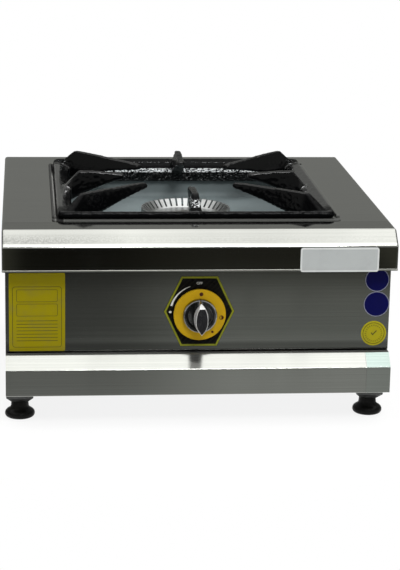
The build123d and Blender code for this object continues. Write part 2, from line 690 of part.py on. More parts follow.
def tube_flange(front_y, rear_y):
    """Oval flange of the mixing tube, drawn out between two places along Y."""
    plane = Plane((0, front_y, TUBE_Z), x_dir=(1, 0, 0), z_dir=(0, 1, 0))
    return extrude(plane * SlotOverall(TUBE_FLANGE_W, TUBE_FLANGE_H), rear_y - front_y)


def mixing_tube():
    """Venturi from a bell mouth through a throat to a flange on the bowl."""
    bell_y = TUBE_MOUTH_Y + TUBE_BELL_L
    flange_y = -TUBE_JOINT - TUBE_FLANGE_T
    mouth = (TUBE_MOUTH_Y, TUBE_BELL_R)
    throat = (bell_y, TUBE_THROAT_R)
    end = (-TUBE_JOINT, TUBE_R)
    inner = TUBE_WALL
    lines = [
        TangentArc(throat, mouth, tangent=(-1, 0)),
        Line(throat, end),
        Line(end, (end[0], end[1] - inner)),
        Line((end[0], end[1] - inner), (throat[0], throat[1] - inner)),
        TangentArc((throat[0], throat[1] - inner), (mouth[0], mouth[1] - inner), tangent=(-1, 0)),
        Line((mouth[0], mouth[1] - inner), mouth),
    ]
    plane = Plane((0, 0, TUBE_Z), x_dir=(0, 1, 0), z_dir=(1, 0, 0))
    tube = revolve(plane * make_face(lines), Axis((0, 0, TUBE_Z), (0, 1, 0)))
    tube += tube_flange(flange_y, -TUBE_JOINT) - rod_y(TUBE_R - inner, (flange_y, -TUBE_JOINT), 0.0, TUBE_Z)
    return tube - [rod_y(SCREW_R, (flange_y, -TUBE_JOINT), x, TUBE_Z) for x in (-TUBE_SCREW_X, TUBE_SCREW_X)]


def air_shutter():
    """Disc on the bell mouth whose windows meter the air drawn in."""
    disc = rod_y(TUBE_BELL_R, (TUBE_MOUTH_Y - SHUTTER_T, TUBE_MOUTH_Y), 0.0, TUBE_Z)
    disc -= rod_y(INJECTOR_R + EASE, (TUBE_MOUTH_Y - SHUTTER_T, TUBE_MOUTH_Y), 0.0, TUBE_Z)
    window = SlotArc(CenterArc((0, 0), TUBE_BELL_R * 0.6, 60, 60), TUBE_WALL)
    plane = Plane((0, TUBE_MOUTH_Y, TUBE_Z), x_dir=(1, 0, 0), z_dir=(0, 1, 0))
    turns = [Rot(0, 0, 360 * count / SHUTTER_WINDOWS) * window for count in range(SHUTTER_WINDOWS)]
    return disc - extrude(plane * (Sketch() + turns), 2 * SHUTTER_T, both=True)


def burner_bridge():
    """Strap across the cabinet that carries the burner, with legs on the side panels."""
    foot_z = BOWL_Z - BRIDGE_LEG
    outline = [
        (SIDE_IN_X, foot_z),
        (SIDE_IN_X, BOWL_Z),
        (-SIDE_IN_X, BOWL_Z),
        (-SIDE_IN_X, foot_z),
    ]
    section = make_face(Polyline(*outline, *reversed(inner_outline(outline, BRIDGE_T)), close=True))
    bridge = extrude(Plane.XZ * section, BRIDGE_W / 2, both=True)
    return bridge - [rod_z(SCREW_R, (BOWL_Z - BRIDGE_T, BOWL_Z), side * BURNER_SCREW_X) for side in (-1, 1)]


def valve_bracket():
    """Hat-shaped bracket that stands the gas tap off the control panel."""
    half = BRACKET_W / 2
    outline = [
        (half + BRACKET_FOOT, PANEL_IN_Y),
        (half, PANEL_IN_Y),
        (half, TAP_Y),
        (-half, TAP_Y),
        (-half, PANEL_IN_Y),
        (-half - BRACKET_FOOT, PANEL_IN_Y),
    ]
    outline = [(x, y + BRACKET_T if y == PANEL_IN_Y else y) for x, y in outline]
    section = make_face(Polyline(*outline, *reversed(inner_outline(outline, BRACKET_T)), close=True))
    bracket = extrude(Plane.XY.offset(KNOB_Z) * section, BRACKET_H / 2, both=True)
    bracket -= rod_y(TAP_NECK_R + FIT, (WEB_Y, TAP_Y))
    return bracket - [rod_y(SCREW_R, (WEB_Y, TAP_Y), x) for x in (-TAP_SCREW_X, TAP_SCREW_X)]


def valve_body():
    """Tap casting: flange, barrel, side inlet and top outlet round the plug's bore."""
    barrel = (TAP_Y + TAP_FLANGE_T, TAP_END_Y)
    plane = Plane((0, TAP_Y, KNOB_Z), x_dir=(1, 0, 0), z_dir=(0, 1, 0))
    body = extrude(plane * RectangleRounded(TAP_FLANGE_W, TAP_FLANGE_H, TAP_FLANGE_H / 4), TAP_FLANGE_T)
    body += rod_y(TAP_NECK_R, (NECK_Y, TAP_Y)) + rod_y(TAP_R, barrel)
    body += rod_x(TAP_PORT_R, (0, TAP_INLET_X), PORT_Y, KNOB_Z)
    body += rod_z(TAP_PORT_R, (KNOB_Z, OUTLET_Z), 0, PORT_Y)
    body -= rod_y(PLUG_R, (NECK_Y, PLUG_Y + PLUG_L + EASE))
    body -= rod_x(PIPE_R, (TAP_INLET_X - PIPE_SEAT, TAP_INLET_X), PORT_Y, KNOB_Z)
    body -= rod_x(PIPE_R - PIPE_WALL, (0, TAP_INLET_X), PORT_Y, KNOB_Z)
    body -= rod_z(PIPE_R - PIPE_WALL, (KNOB_Z, OUTLET_Z), 0, PORT_Y)
    return body - [rod_y(SCREW_R, (TAP_Y, barrel[0]), x) for x in (-TAP_SCREW_X, TAP_SCREW_X)]


def valve_bonnet():
    """Bush that closes the tap's bore and guides the spindle."""
    bush = rod_y(PLUG_R, (NECK_Y, TAP_Y)) + rod_y(BONNET_HEAD_R, (BONNET_Y, NECK_Y))
    return bush - rod_y(SPINDLE_R + RUN, (BONNET_Y, TAP_Y))


def d_section(radius, flat, y_span):
    """A bar along Y with one flat on its upper side."""
    bar = rod_y(radius, y_span)
    return bar - block((-radius, radius), y_span, (KNOB_Z + flat, KNOB_Z + 2 * radius))


def valve_plug():
    """Turning plug with a D socket for the spindle and a cross passage for the gas."""
    plug = rod_y(PLUG_R - RUN, (PLUG_Y, PLUG_Y + PLUG_L))
    plug -= d_section(SOCKET_R + RUN, SOCKET_FLAT + RUN, (PLUG_Y, PLUG_Y + SOCKET_DEPTH))
    return plug - rod_x(PLUG_WAY_R, (0, PLUG_R), PORT_Y, KNOB_Z)


def valve_spindle():
    """Spindle from the knob's core to the plug, with a D tail."""
    shoulder_y = PLUG_Y - PLUG_GAP - PUSH
    tail = d_section(SOCKET_R, SOCKET_FLAT, (shoulder_y, PLUG_Y + SOCKET_DEPTH - PUSH - EASE))
    return rod_y(SPINDLE_R, (KNOB_Y - SPINDLE_GRIP, shoulder_y)) + tail


def spindle_clip():
    """Ring on the spindle that the return spring pushes against."""
    ring = rod_y(CLIP_RING_R, (clip_y(), clip_y() + CLIP_RING_T))
    return ring - rod_y(SPINDLE_R, (clip_y(), clip_y() + CLIP_RING_T))


def clip_y():
    """Front of the spring's ring, inside the panel's hole."""
    return PANEL_Y + FIT


def spindle_spring():
    """Return spring round the spindle, between its ring and the tap's bonnet."""
    start = clip_y() + CLIP_RING_T + SPRING_WIRE_R
    height = BONNET_Y - SPRING_WIRE_R - start
    path = Helix(height / SPRING_TURNS, height, SPRING_R)
    wire = sweep(Plane(path @ 0, z_dir=path % 0) * Circle(SPRING_WIRE_R), path, is_frenet=True)
    return Plane((0, start, KNOB_Z), z_dir=(0, 1, 0)) * wire


def safety_magnet():
    """Flame-failure magnet on the tap's end, with the nut of the probe's lead."""
    nut_y = TAP_END_Y + MAGNET_L
    return rod_y(MAGNET_R, (TAP_END_Y, nut_y)) + hexagon_y(MAGNET_NUT_AF, (nut_y, MAGNET_END_Y))


def injector_elbow():
    """Riser from the tap's outlet, turned towards the mixing tube."""
    elbow = rod_z(ELBOW_R, (OUTLET_Z, TUBE_Z), 0, PORT_Y) + Pos(0, PORT_Y, TUBE_Z) * Sphere(ELBOW_R)
    elbow += rod_y(ELBOW_R, (PORT_Y, PORT_Y + ELBOW_ARM), 0.0, TUBE_Z)
    elbow -= rod_z(INJECTOR_R, (OUTLET_Z, TUBE_Z), 0, PORT_Y)
    return elbow - rod_y(INJECTOR_R, (PORT_Y, PORT_Y + ELBOW_ARM), 0.0, TUBE_Z)


def injector():
    """Gas jet: hexagon on the elbow and a drilled nose in the bell mouth."""
    hex_y = NOSE_Y - INJECTOR_HEX_L
    nose = Cone(INJECTOR_R, INJECTOR_NOSE_R, INJECTOR_TIP_L)
    jet = hexagon_y(INJECTOR_AF, (hex_y, NOSE_Y), 0.0, TUBE_Z)
    jet += Plane((0, NOSE_Y + INJECTOR_TIP_L / 2, TUBE_Z), z_dir=(0, 1, 0)) * nose
    return jet - rod_y(INJECTOR_HOLE_R, (hex_y, NOSE_Y + INJECTOR_TIP_L), 0.0, TUBE_Z)


def inlet_joint_y():
    """Inner end of the inlet fitting, where the pipe goes in."""
    return BACK_IN_Y - INLET_HEX_L - INLET_SPIGOT_L


def gas_pipe():
    """Pipe from the rear inlet along the right side and across to the tap."""
    path = FilletPolyline(
        (INLET_X, inlet_joint_y() + PIPE_SEAT, KNOB_Z),
        (INLET_X, PORT_Y, KNOB_Z),
        (TAP_INLET_X - PIPE_SEAT, PORT_Y, KNOB_Z),
        radius=PIPE_BEND,
    )
    plane = Plane(path @ 0, z_dir=path % 0)
    return sweep(plane * (Circle(PIPE_R) - Circle(PIPE_R - PIPE_WALL)), path)


def pipe_nuts():
    """Union nuts at both ends of the pipe."""
    rear_y = inlet_joint_y()
    rear = hexagon_y(PIPE_NUT_AF, (rear_y - PIPE_NUT_L, rear_y), INLET_X)
    rear -= rod_y(PIPE_R, (rear_y - PIPE_NUT_L, rear_y), INLET_X)
    plane = Plane((TAP_INLET_X, PORT_Y, KNOB_Z), x_dir=(0, 0, 1), z_dir=(1, 0, 0))
    front = extrude(plane * flat_hexagon(PIPE_NUT_AF), PIPE_NUT_L)
    front -= rod_x(PIPE_R, (TAP_INLET_X, TAP_INLET_X + PIPE_NUT_L), PORT_Y, KNOB_Z)
    return [rear, front]


def inlet_fitting():
    """Bulkhead fitting through the rear panel, with the outside gas thread left plain."""
    hex_y = BACK_IN_Y - INLET_HEX_L
    relief_y = BACK_Y + LOCK_NUT_L
    fitting = hexagon_y(INLET_HEX_AF, (hex_y, BACK_IN_Y), INLET_X)
    fitting += rod_y(INLET_NECK_R, (BACK_IN_Y, relief_y), INLET_X)
    fitting += rod_y(INLET_RELIEF_R, (relief_y, relief_y + INLET_RELIEF_L), INLET_X)
    fitting += rod_y(INLET_R, (relief_y + INLET_RELIEF_L, INLET_END_Y), INLET_X)
    fitting += rod_y(INLET_SPIGOT_R, (inlet_joint_y(), hex_y), INLET_X)
    fitting -= rod_y(PIPE_R, (inlet_joint_y(), inlet_joint_y() + PIPE_SEAT), INLET_X)
    return fitting - rod_y(INLET_BORE_R, (inlet_joint_y(), INLET_END_Y), INLET_X)


def inlet_locknut():
    """Thin nut that clamps the fitting to the rear panel."""
    span = (BACK_Y, BACK_Y + LOCK_NUT_L)
    return hexagon_y(LOCK_NUT_AF, span, INLET_X) - rod_y(INLET_NECK_R, span, INLET_X)


def thermocouple():
    """Probe beside the crown, and its lead to the tap's magnet."""
    tip_z = CROWN_Z + PROBE_TOP
    probe = rod_z(PROBE_R, (tip_z - PROBE_L, tip_z), PROBE_XY, -PROBE_XY)
    probe = fillet(probe.edges().group_by(Axis.Z)[-1], PROBE_R * 0.8)
    path = FilletPolyline(
        (PROBE_XY, -PROBE_XY, tip_z - PROBE_L),
        (PROBE_XY, -PROBE_XY, KNOB_Z),
        (0, MAGNET_END_Y + LEAD_TURN, KNOB_Z),
        (0, MAGNET_END_Y, KNOB_Z),
        radius=LEAD_BEND,
    )
    return probe + sweep(Plane(path @ 0, z_dir=path % 0) * Circle(LEAD_R), path)


def thermocouple_clip():
    """Small block on the bowl that holds the probe upright."""
    top_z = CROWN_Z - CLIP_DROP
    slope = (BOWL_R - BOWL_FOOT_R) / (BOWL_H - BOWL_BAND_H)
    bowl_r = BOWL_FOOT_R + slope * (top_z - CLIP_T - BOWL_Z)
    clip = block((bowl_r, PROBE_AT + CLIP_W / 2), (-CLIP_W / 2, CLIP_W / 2), (top_z - CLIP_T, top_z))
    bowl = Cone(BOWL_FOOT_R, BOWL_R, BOWL_H - BOWL_BAND_H)
    clip = Rot(0, 0, -45) * clip - Pos(0, 0, BOWL_Z + (BOWL_H - BOWL_BAND_H) / 2) * bowl
    return clip - rod_z(PROBE_R, (top_z - CLIP_T, top_z), PROBE_XY, -PROBE_XY)


def dial_plate():
    """Six-sided plate behind the knob, a little higher than the spindle."""
    top = DIAL_RISE + DIAL_H / 2
    foot = DIAL_RISE - DIAL_H / 2
    corners = [
        (-DIAL_W / 2, DIAL_RISE),
        (-DIAL_FLAT / 2, top),
        (DIAL_FLAT / 2, top),
        (DIAL_W / 2, DIAL_RISE),
        (DIAL_FLAT / 2, foot),
        (-DIAL_FLAT / 2, foot),
    ]
    face = make_face(Polyline(*corners, close=True)) - Circle(PANEL_HOLE_R)
    return extrude(Plane((0, PANEL_Y, KNOB_Z), x_dir=(1, 0, 0), z_dir=(0, -1, 0)) * face, DIAL_T)


def knob_plane(depth):
    """Plane facing the user, a depth in front of the knob's back."""
    return Plane((0, KNOB_Y - depth, KNOB_Z), x_dir=(1, 0, 0), z_dir=(0, -1, 0))


def knob_turned(corners):
    """A piece of the knob turned from corners given as radius and depth from its back."""
    plane = Plane((0, KNOB_Y, KNOB_Z), x_dir=(1, 0, 0), z_dir=(0, 0, 1))
    face = make_face(Polyline(*[(radius, -depth) for radius, depth in corners], close=True))
    return revolve(plane * face, Axis((0, KNOB_Y, KNOB_Z), (0, 1, 0)))


def knob_skirt():
    """Coloured ring behind the grip; its face falls away slightly to the edge."""
    corners = [
        (CORE_R, 0),
        (SKIRT_RING_R, 0),
        (SKIRT_RING_R, SKIRT_RING_T - SKIRT_RING_CONE),
        (KNOB_R, SKIRT_RING_T),
        (CORE_R, SKIRT_RING_T),
    ]
    ring = knob_turned(corners)
    circles = ring.edges().filter_by(GeomType.CIRCLE)
    outer = circles.filter_by(lambda edge: abs(edge.radius - SKIRT_RING_R) < EASE / 2)
    return fillet(outer.sort_by(Axis.Y)[0], SKIRT_RING_CONE)


def grip_outline(width, length):
    """Boat shape: two arcs between small flats at the ends."""
    end = GRIP_END / 2
    left = ThreePointArc((-end, -length / 2), (-width / 2, 0), (-end, length / 2))
    right = ThreePointArc((end, length / 2), (width / 2, 0), (end, -length / 2))
    flats = [Line((-end, length / 2), (end, length / 2)), Line((end, -length / 2), (-end, -length / 2))]
    return make_face([left, flats[0], right, flats[1]])


def knob_cap():
    """Chromed knob: round base with a rolled rim, a scooped face and a boat-shaped grip."""
    floor = KNOB_BASE - KNOB_SCOOP
    inner = KNOB_R - KNOB_RIM
    corners = [
        (0, SKIRT_RING_T),
        (KNOB_R, SKIRT_RING_T),
        (KNOB_R, KNOB_BASE - KNOB_RIM / 2),
        (KNOB_R - KNOB_RIM / 2, KNOB_BASE),
        (inner, KNOB_BASE - KNOB_RIM / 4),
        (inner - KNOB_SCOOP, floor),
        (0, floor),
    ]
    cap = knob_turned(corners)
    face_l = GRIP_LENGTH - 2 * GRIP_BACK
    low = knob_plane(SKIRT_RING_T) * grip_outline(GRIP_BASE_W, GRIP_LENGTH)
    high = knob_plane(KNOB_DEPTH) * grip_outline(GRIP_W, face_l)
    cap += loft([low, high])
    cap -= rod_y(CORE_R, (KNOB_Y - CORE_DEPTH, KNOB_Y))
    return cap - rod_y(SPINDLE_R, (KNOB_Y - SPINDLE_GRIP, KNOB_Y))


def knob_core():
    """Hub inside the knob that carries the ring and grips the spindle."""
    core = rod_y(CORE_R, (KNOB_Y - CORE_DEPTH, KNOB_Y))
    return core - rod_y(SPINDLE_R, (KNOB_Y - CORE_DEPTH, KNOB_Y))


def parts_list():
    """Every node of the stove by name."""
    right = side_panel()
    cups = foot_places()
    plate_z = PLATE_TOP_Z - PLATE_SCREW_DROP
    pan_z = PAN_Z + BODY_SHEET
    bridge_z = BOWL_Z - BRIDGE_T
    flange_y = -TUBE_JOINT - TUBE_FLANGE_T
    tap_grip = BRACKET_T + TAP_FLANGE_T
    nodes = {
        "top_plate": top_plate(),
        "left_side_panel": mirror(right, about=Plane.YZ),
        "right_side_panel": right,
        "rear_panel": rear_panel(),
        "control_panel": control_panel(),
        "base_front": base_front(),
        "base_pan": base_pan(),
        "foot_cups": [Pos(x, y, 0) * foot_cup() for x, y in cups],
        "foot_nuts": [Pos(x, y, 0) * foot_nut() for x, y in cups],
        "rear_screws": [screw(x, BACK_Y, z, (0, 1, 0)) for x, z in rear_screw_places()],
        "plate_screws": [screw(x, REAR_Y, plate_z, (0, 1, 0)) for x in plate_screw_places()],
        "base_screws": [screw(x, y, pan_z, (0, 0, 1), SHEET_SCREW_L) for x, y in base_screw_places()],
        "dial_plate": dial_plate(),
        "valve_bracket": valve_bracket(),
        "valve_body": valve_body(),
        "valve_bonnet": valve_bonnet(),
        "valve_screws": [screw(side * TAP_SCREW_X, WEB_Y, KNOB_Z, (0, -1, 0), tap_grip) for side in (-1, 1)],
        "safety_magnet": safety_magnet(),
        "gas_pipe": gas_pipe(),
        "pipe_nuts": pipe_nuts(),
        "inlet_fitting": inlet_fitting(),
        "inlet_locknut": inlet_locknut(),
        "injector_elbow": injector_elbow(),
        "injector": injector(),
        "air_shutter": air_shutter(),
        "mixing_tube": mixing_tube(),
        "tube_screws": [screw(side * TUBE_SCREW_X, flange_y, TUBE_Z, (0, -1, 0)) for side in (-1, 1)],
        "burner_bowl": burner_bowl(),
        "burner_bridge": burner_bridge(),
        "burner_screws": [screw(side * BURNER_SCREW_X, 0, bridge_z, (0, 0, -1)) for side in (-1, 1)],
        "thermocouple": thermocouple(),
        "thermocouple_clip": thermocouple_clip(),
        "drip_tray": drip_tray(),
        "grate": grate(),
        "burner_cap": burner_cap(),
        "valve_plug": valve_plug(),
        "valve_spindle": valve_spindle(),
        "spindle_clip": spindle_clip(),
        "spindle_spring": spindle_spring(),
        "knob_core": knob_core(),
        "knob_skirt": knob_skirt(),
        "knob_cap": knob_cap(),
    }
    corners = ("front_left", "front_right", "rear_left", "rear_right")
    for corner, (x, y) in zip(corners, cups):
        nodes[f"foot_pad_{corner}"] = Pos(x, y, 0) * foot_pad()
        nodes[f"foot_stud_{corner}"] = Pos(x, y, 0) * foot_stud()
    return nodes


os.makedirs("parts", exist_ok=True)
for name, shape in parts_list().items():
    solids = Compound(children=shape) if isinstance(shape, list) else shape
    export_step(solids, f"parts/{name}.step")
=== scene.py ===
"""Table-top gas stove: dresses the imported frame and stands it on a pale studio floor."""
import json
import logging
import math
from dataclasses import dataclass
from enum import Enum, IntEnum
from typing import Any, Callable, Dict, Iterable, List, Optional, Sequence, Tuple, Union

import bmesh
import bpy
from mathutils import Matrix, Vector, noise

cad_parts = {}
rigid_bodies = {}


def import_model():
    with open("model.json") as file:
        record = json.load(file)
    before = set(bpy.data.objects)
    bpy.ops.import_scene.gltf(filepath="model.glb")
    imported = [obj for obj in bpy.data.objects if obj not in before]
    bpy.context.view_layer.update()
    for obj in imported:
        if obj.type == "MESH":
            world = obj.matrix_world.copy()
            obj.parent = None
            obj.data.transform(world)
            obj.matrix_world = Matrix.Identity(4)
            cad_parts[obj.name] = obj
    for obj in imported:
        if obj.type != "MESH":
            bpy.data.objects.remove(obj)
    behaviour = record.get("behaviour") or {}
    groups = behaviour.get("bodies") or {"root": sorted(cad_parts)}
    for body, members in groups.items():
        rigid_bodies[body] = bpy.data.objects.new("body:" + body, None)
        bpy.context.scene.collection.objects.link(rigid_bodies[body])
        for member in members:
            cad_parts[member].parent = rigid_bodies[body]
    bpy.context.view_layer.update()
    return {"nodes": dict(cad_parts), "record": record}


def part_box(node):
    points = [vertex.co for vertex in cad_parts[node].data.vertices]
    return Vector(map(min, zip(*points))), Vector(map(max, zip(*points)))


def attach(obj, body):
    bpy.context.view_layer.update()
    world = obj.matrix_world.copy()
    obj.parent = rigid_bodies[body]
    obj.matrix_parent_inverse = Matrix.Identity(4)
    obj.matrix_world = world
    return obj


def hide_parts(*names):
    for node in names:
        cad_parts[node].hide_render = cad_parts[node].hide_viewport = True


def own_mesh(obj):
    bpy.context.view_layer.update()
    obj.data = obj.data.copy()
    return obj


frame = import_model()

log = logging.getLogger("stove")
Colour = Tuple[float, float, float]
Spot = Tuple[float, float]
Point = Tuple[float, float, float]
Outline = Sequence[Spot]
Faces = Sequence[Sequence[int]]
Row = List[bmesh.types.BMVert]
Value = Union["Wire", float, Sequence[float]]
Finish = bpy.types.Material
Piece = bpy.types.Object
MM = 0.001
NEAR = 1e-6  # corners nearer than this are one
TINY = 1e-9  # keeps a sum from dividing by nothing
QUARTER = math.pi / 2
AXIS: Spot = (0.0, 117.2 * MM)  # the knob's axis, in x and z


# Node trees


def operator(operation: str, swapped: bool = False) -> Callable[..., "Wire"]:
    """A method that joins a wire and another value with one Math node.

    Args:
        operation: what the node does.
        swapped: whether the other value comes first.

    Returns:
        The method.
    """
    def method(wire: "Wire", other: Value = 0.0) -> "Wire":
        """Add the Math node."""
        pair = (other, wire) if swapped else (wire, other)
        return wire.board.node("ShaderNodeMath", dict(enumerate(pair)), operation=operation)
    return method


class Wire:
    """A node socket that takes part in Python sums."""

    def __init__(self, board: "Board", socket: Optional[bpy.types.NodeSocket]) -> None:
        """Keep the socket and the board it belongs to."""
        self.board = board
        self.socket = socket

    __add__ = __radd__ = operator("ADD")
    __sub__ = operator("SUBTRACT")
    __rsub__ = operator("SUBTRACT", swapped=True)
    __mul__ = __rmul__ = operator("MULTIPLY")
    __truediv__ = operator("DIVIDE")
    __pow__ = operator("POWER")
    __abs__ = operator("ABSOLUTE")
    most = operator("MAXIMUM")
    least = operator("MINIMUM")
    wave = operator("SINE")

    def ramp(self, low: float, high: float, start: float = 0.0, end: float = 1.0) -> "Wire":
        """Smooth step from one level to another.

        Args:
            low: value at which the step starts.
            high: value at which it ends.
            start: level before it.
            end: level after it.

        Returns:
            The stepped value.
        """
        sockets = {"Value": self, "From Min": low, "From Max": high, "To Min": start, "To Max": end}
        return self.board.node("ShaderNodeMapRange", sockets, interpolation_type="SMOOTHSTEP")

    def band(self, first: Spot, second: Spot) -> "Wire":
        """One between two soft edges, each given from its outer to its inner place."""
        return self.ramp(*first) * self.ramp(*second)


class Board:
    """A node tree under construction, for a finish or for a repeated shape."""

    def __init__(self, tree: bpy.types.NodeTree) -> None:
        """Start with an empty tree."""
        self.tree = tree
        tree.nodes.clear()

    def node(self, kind: str, sockets: Optional[Dict[Any, Any]] = None, out: Any = 0,
             stops: Sequence[Tuple[float, Colour]] = (), **settings: Any) -> Wire:
        """Add a node.

        Args:
            kind: the node's type.
            sockets: values or wires for its inputs, by name or number.
            out: the output that is wanted.
            stops: a colour ramp's places and colours.
            **settings: the node's own settings, set before its inputs.

        Returns:
            That output.
        """
        made = self.tree.nodes.new(kind)
        for key, value in settings.items():
            setattr(made, key, value)
        if stops:
            self._stops(made.color_ramp, stops)
        for key, value in (sockets or {}).items():
            target = made.inputs[key]
            if isinstance(value, Wire):
                self.tree.links.new(value.socket, target)
            elif target.type == "RGBA" and len(value) == 3:
                target.default_value = (*value, 1.0)
            else:
                target.default_value = value
        return Wire(self, made.outputs[out] if made.outputs else None)

    @staticmethod
    def _stops(ramp: bpy.types.ColorRamp, stops: Sequence[Tuple[float, Colour]]) -> None:
        """Set a colour ramp's stops."""
        while len(ramp.elements) < len(stops):
            ramp.elements.new(1.0)
        for element, (place, colour) in zip(ramp.elements, stops):
            element.position = place
            element.color = (*colour, 1.0)


class Bench(Board):
    """A finish under construction."""

    def __init__(self, name: str) -> None:
        """Start a new material."""
        self.material = bpy.data.materials.new(name)
        self.material.use_nodes = True
        super().__init__(self.material.node_tree)

    def place(self, scale: Sequence[float] = (1, 1, 1), shift: Sequence[float] = (0, 0, 0)) -> Wire:
        """Place on the piece, in metres times scale, moved by shift."""
        here = self.node("ShaderNodeTexCoord", out="Object")
        return self.node("ShaderNodeMapping", {"Vector": here, "Location": shift, "Scale": scale})

    def axes(self) -> Tuple[Wire, ...]:
        """The three coordinates on the piece, in metres."""
        here = self.node("ShaderNodeTexCoord", out="Object")
        split = self.node("ShaderNodeSeparateXYZ", {0: here}).socket.node
        return tuple(Wire(self, out) for out in split.outputs)

    def cloud(self, scale: float, detail: float = 3.0, rough: float = 0.5,
              place: Optional[Wire] = None) -> Wire:
        """Soft random values around one half."""
        sockets = {"Vector": place or self.place(), "Scale": scale, "Detail": detail, "Roughness": rough}
        return self.node("ShaderNodeTexNoise", sockets)

    def cells(self, scale: float, place: Optional[Wire] = None, out: str = "Distance") -> Wire:
        """Distance to the nearest of many scattered points, or that point's own colour."""
        return self.node("ShaderNodeTexVoronoi", {"Vector": place or self.place(), "Scale": scale}, out)

    def blend(self, share: Value, first: Value, second: Value, mode: str = "MIX") -> Wire:
        """Mix two colours.

        Args:
            share: how much of the second.
            first: the first colour.
            second: the second colour.
            mode: how they mix.

        Returns:
            The mixed colour.
        """
        sockets = {0: share, 6: first, 7: second}
        return self.node("ShaderNodeMix", sockets, 2, data_type="RGBA", blend_type=mode)

    def bump(self, height: Wire, strength: Value, distance: float, under: Optional[Wire] = None) -> Wire:
        """Relief from a height.

        Args:
            height: the height, in units of distance.
            strength: its share.
            distance: in metres.
            under: a relief that this one lies on.

        Returns:
            The normal.
        """
        sockets = {"Strength": strength, "Distance": distance, "Height": height}
        return self.node("ShaderNodeBump", sockets | ({"Normal": under} if under else {}), "Normal")

    def surface(self, **sockets: Value) -> Finish:
        """Finish the material with its surface shader, whose inputs have _ for a space."""
        named = {key.replace("_", " "): value for key, value in sockets.items()}
        return self.close(self.node("ShaderNodeBsdfPrincipled", named))

    def glow(self, colour: Value) -> Wire:
        """An even light of one colour."""
        return self.node("ShaderNodeEmission", {"Color": colour, "Strength": 1.0})

    def close(self, shader: Wire) -> Finish:
        """Join a shader to the output."""
        self.node("ShaderNodeOutputMaterial", {"Surface": shader})
        return self.material


# Finishes


def times(values: Sequence[float], share: float) -> Tuple[float, ...]:
    """Each value times a share, such as a darker or paler tone."""
    return tuple(v * share for v in values)


class Grain(Enum):
    """Which way a sheet was brushed, as the grain's stretch along each axis."""

    ACROSS = (3.0, 2600.0, 2600.0)
    BACKWARD = (2600.0, 3.0, 2600.0)


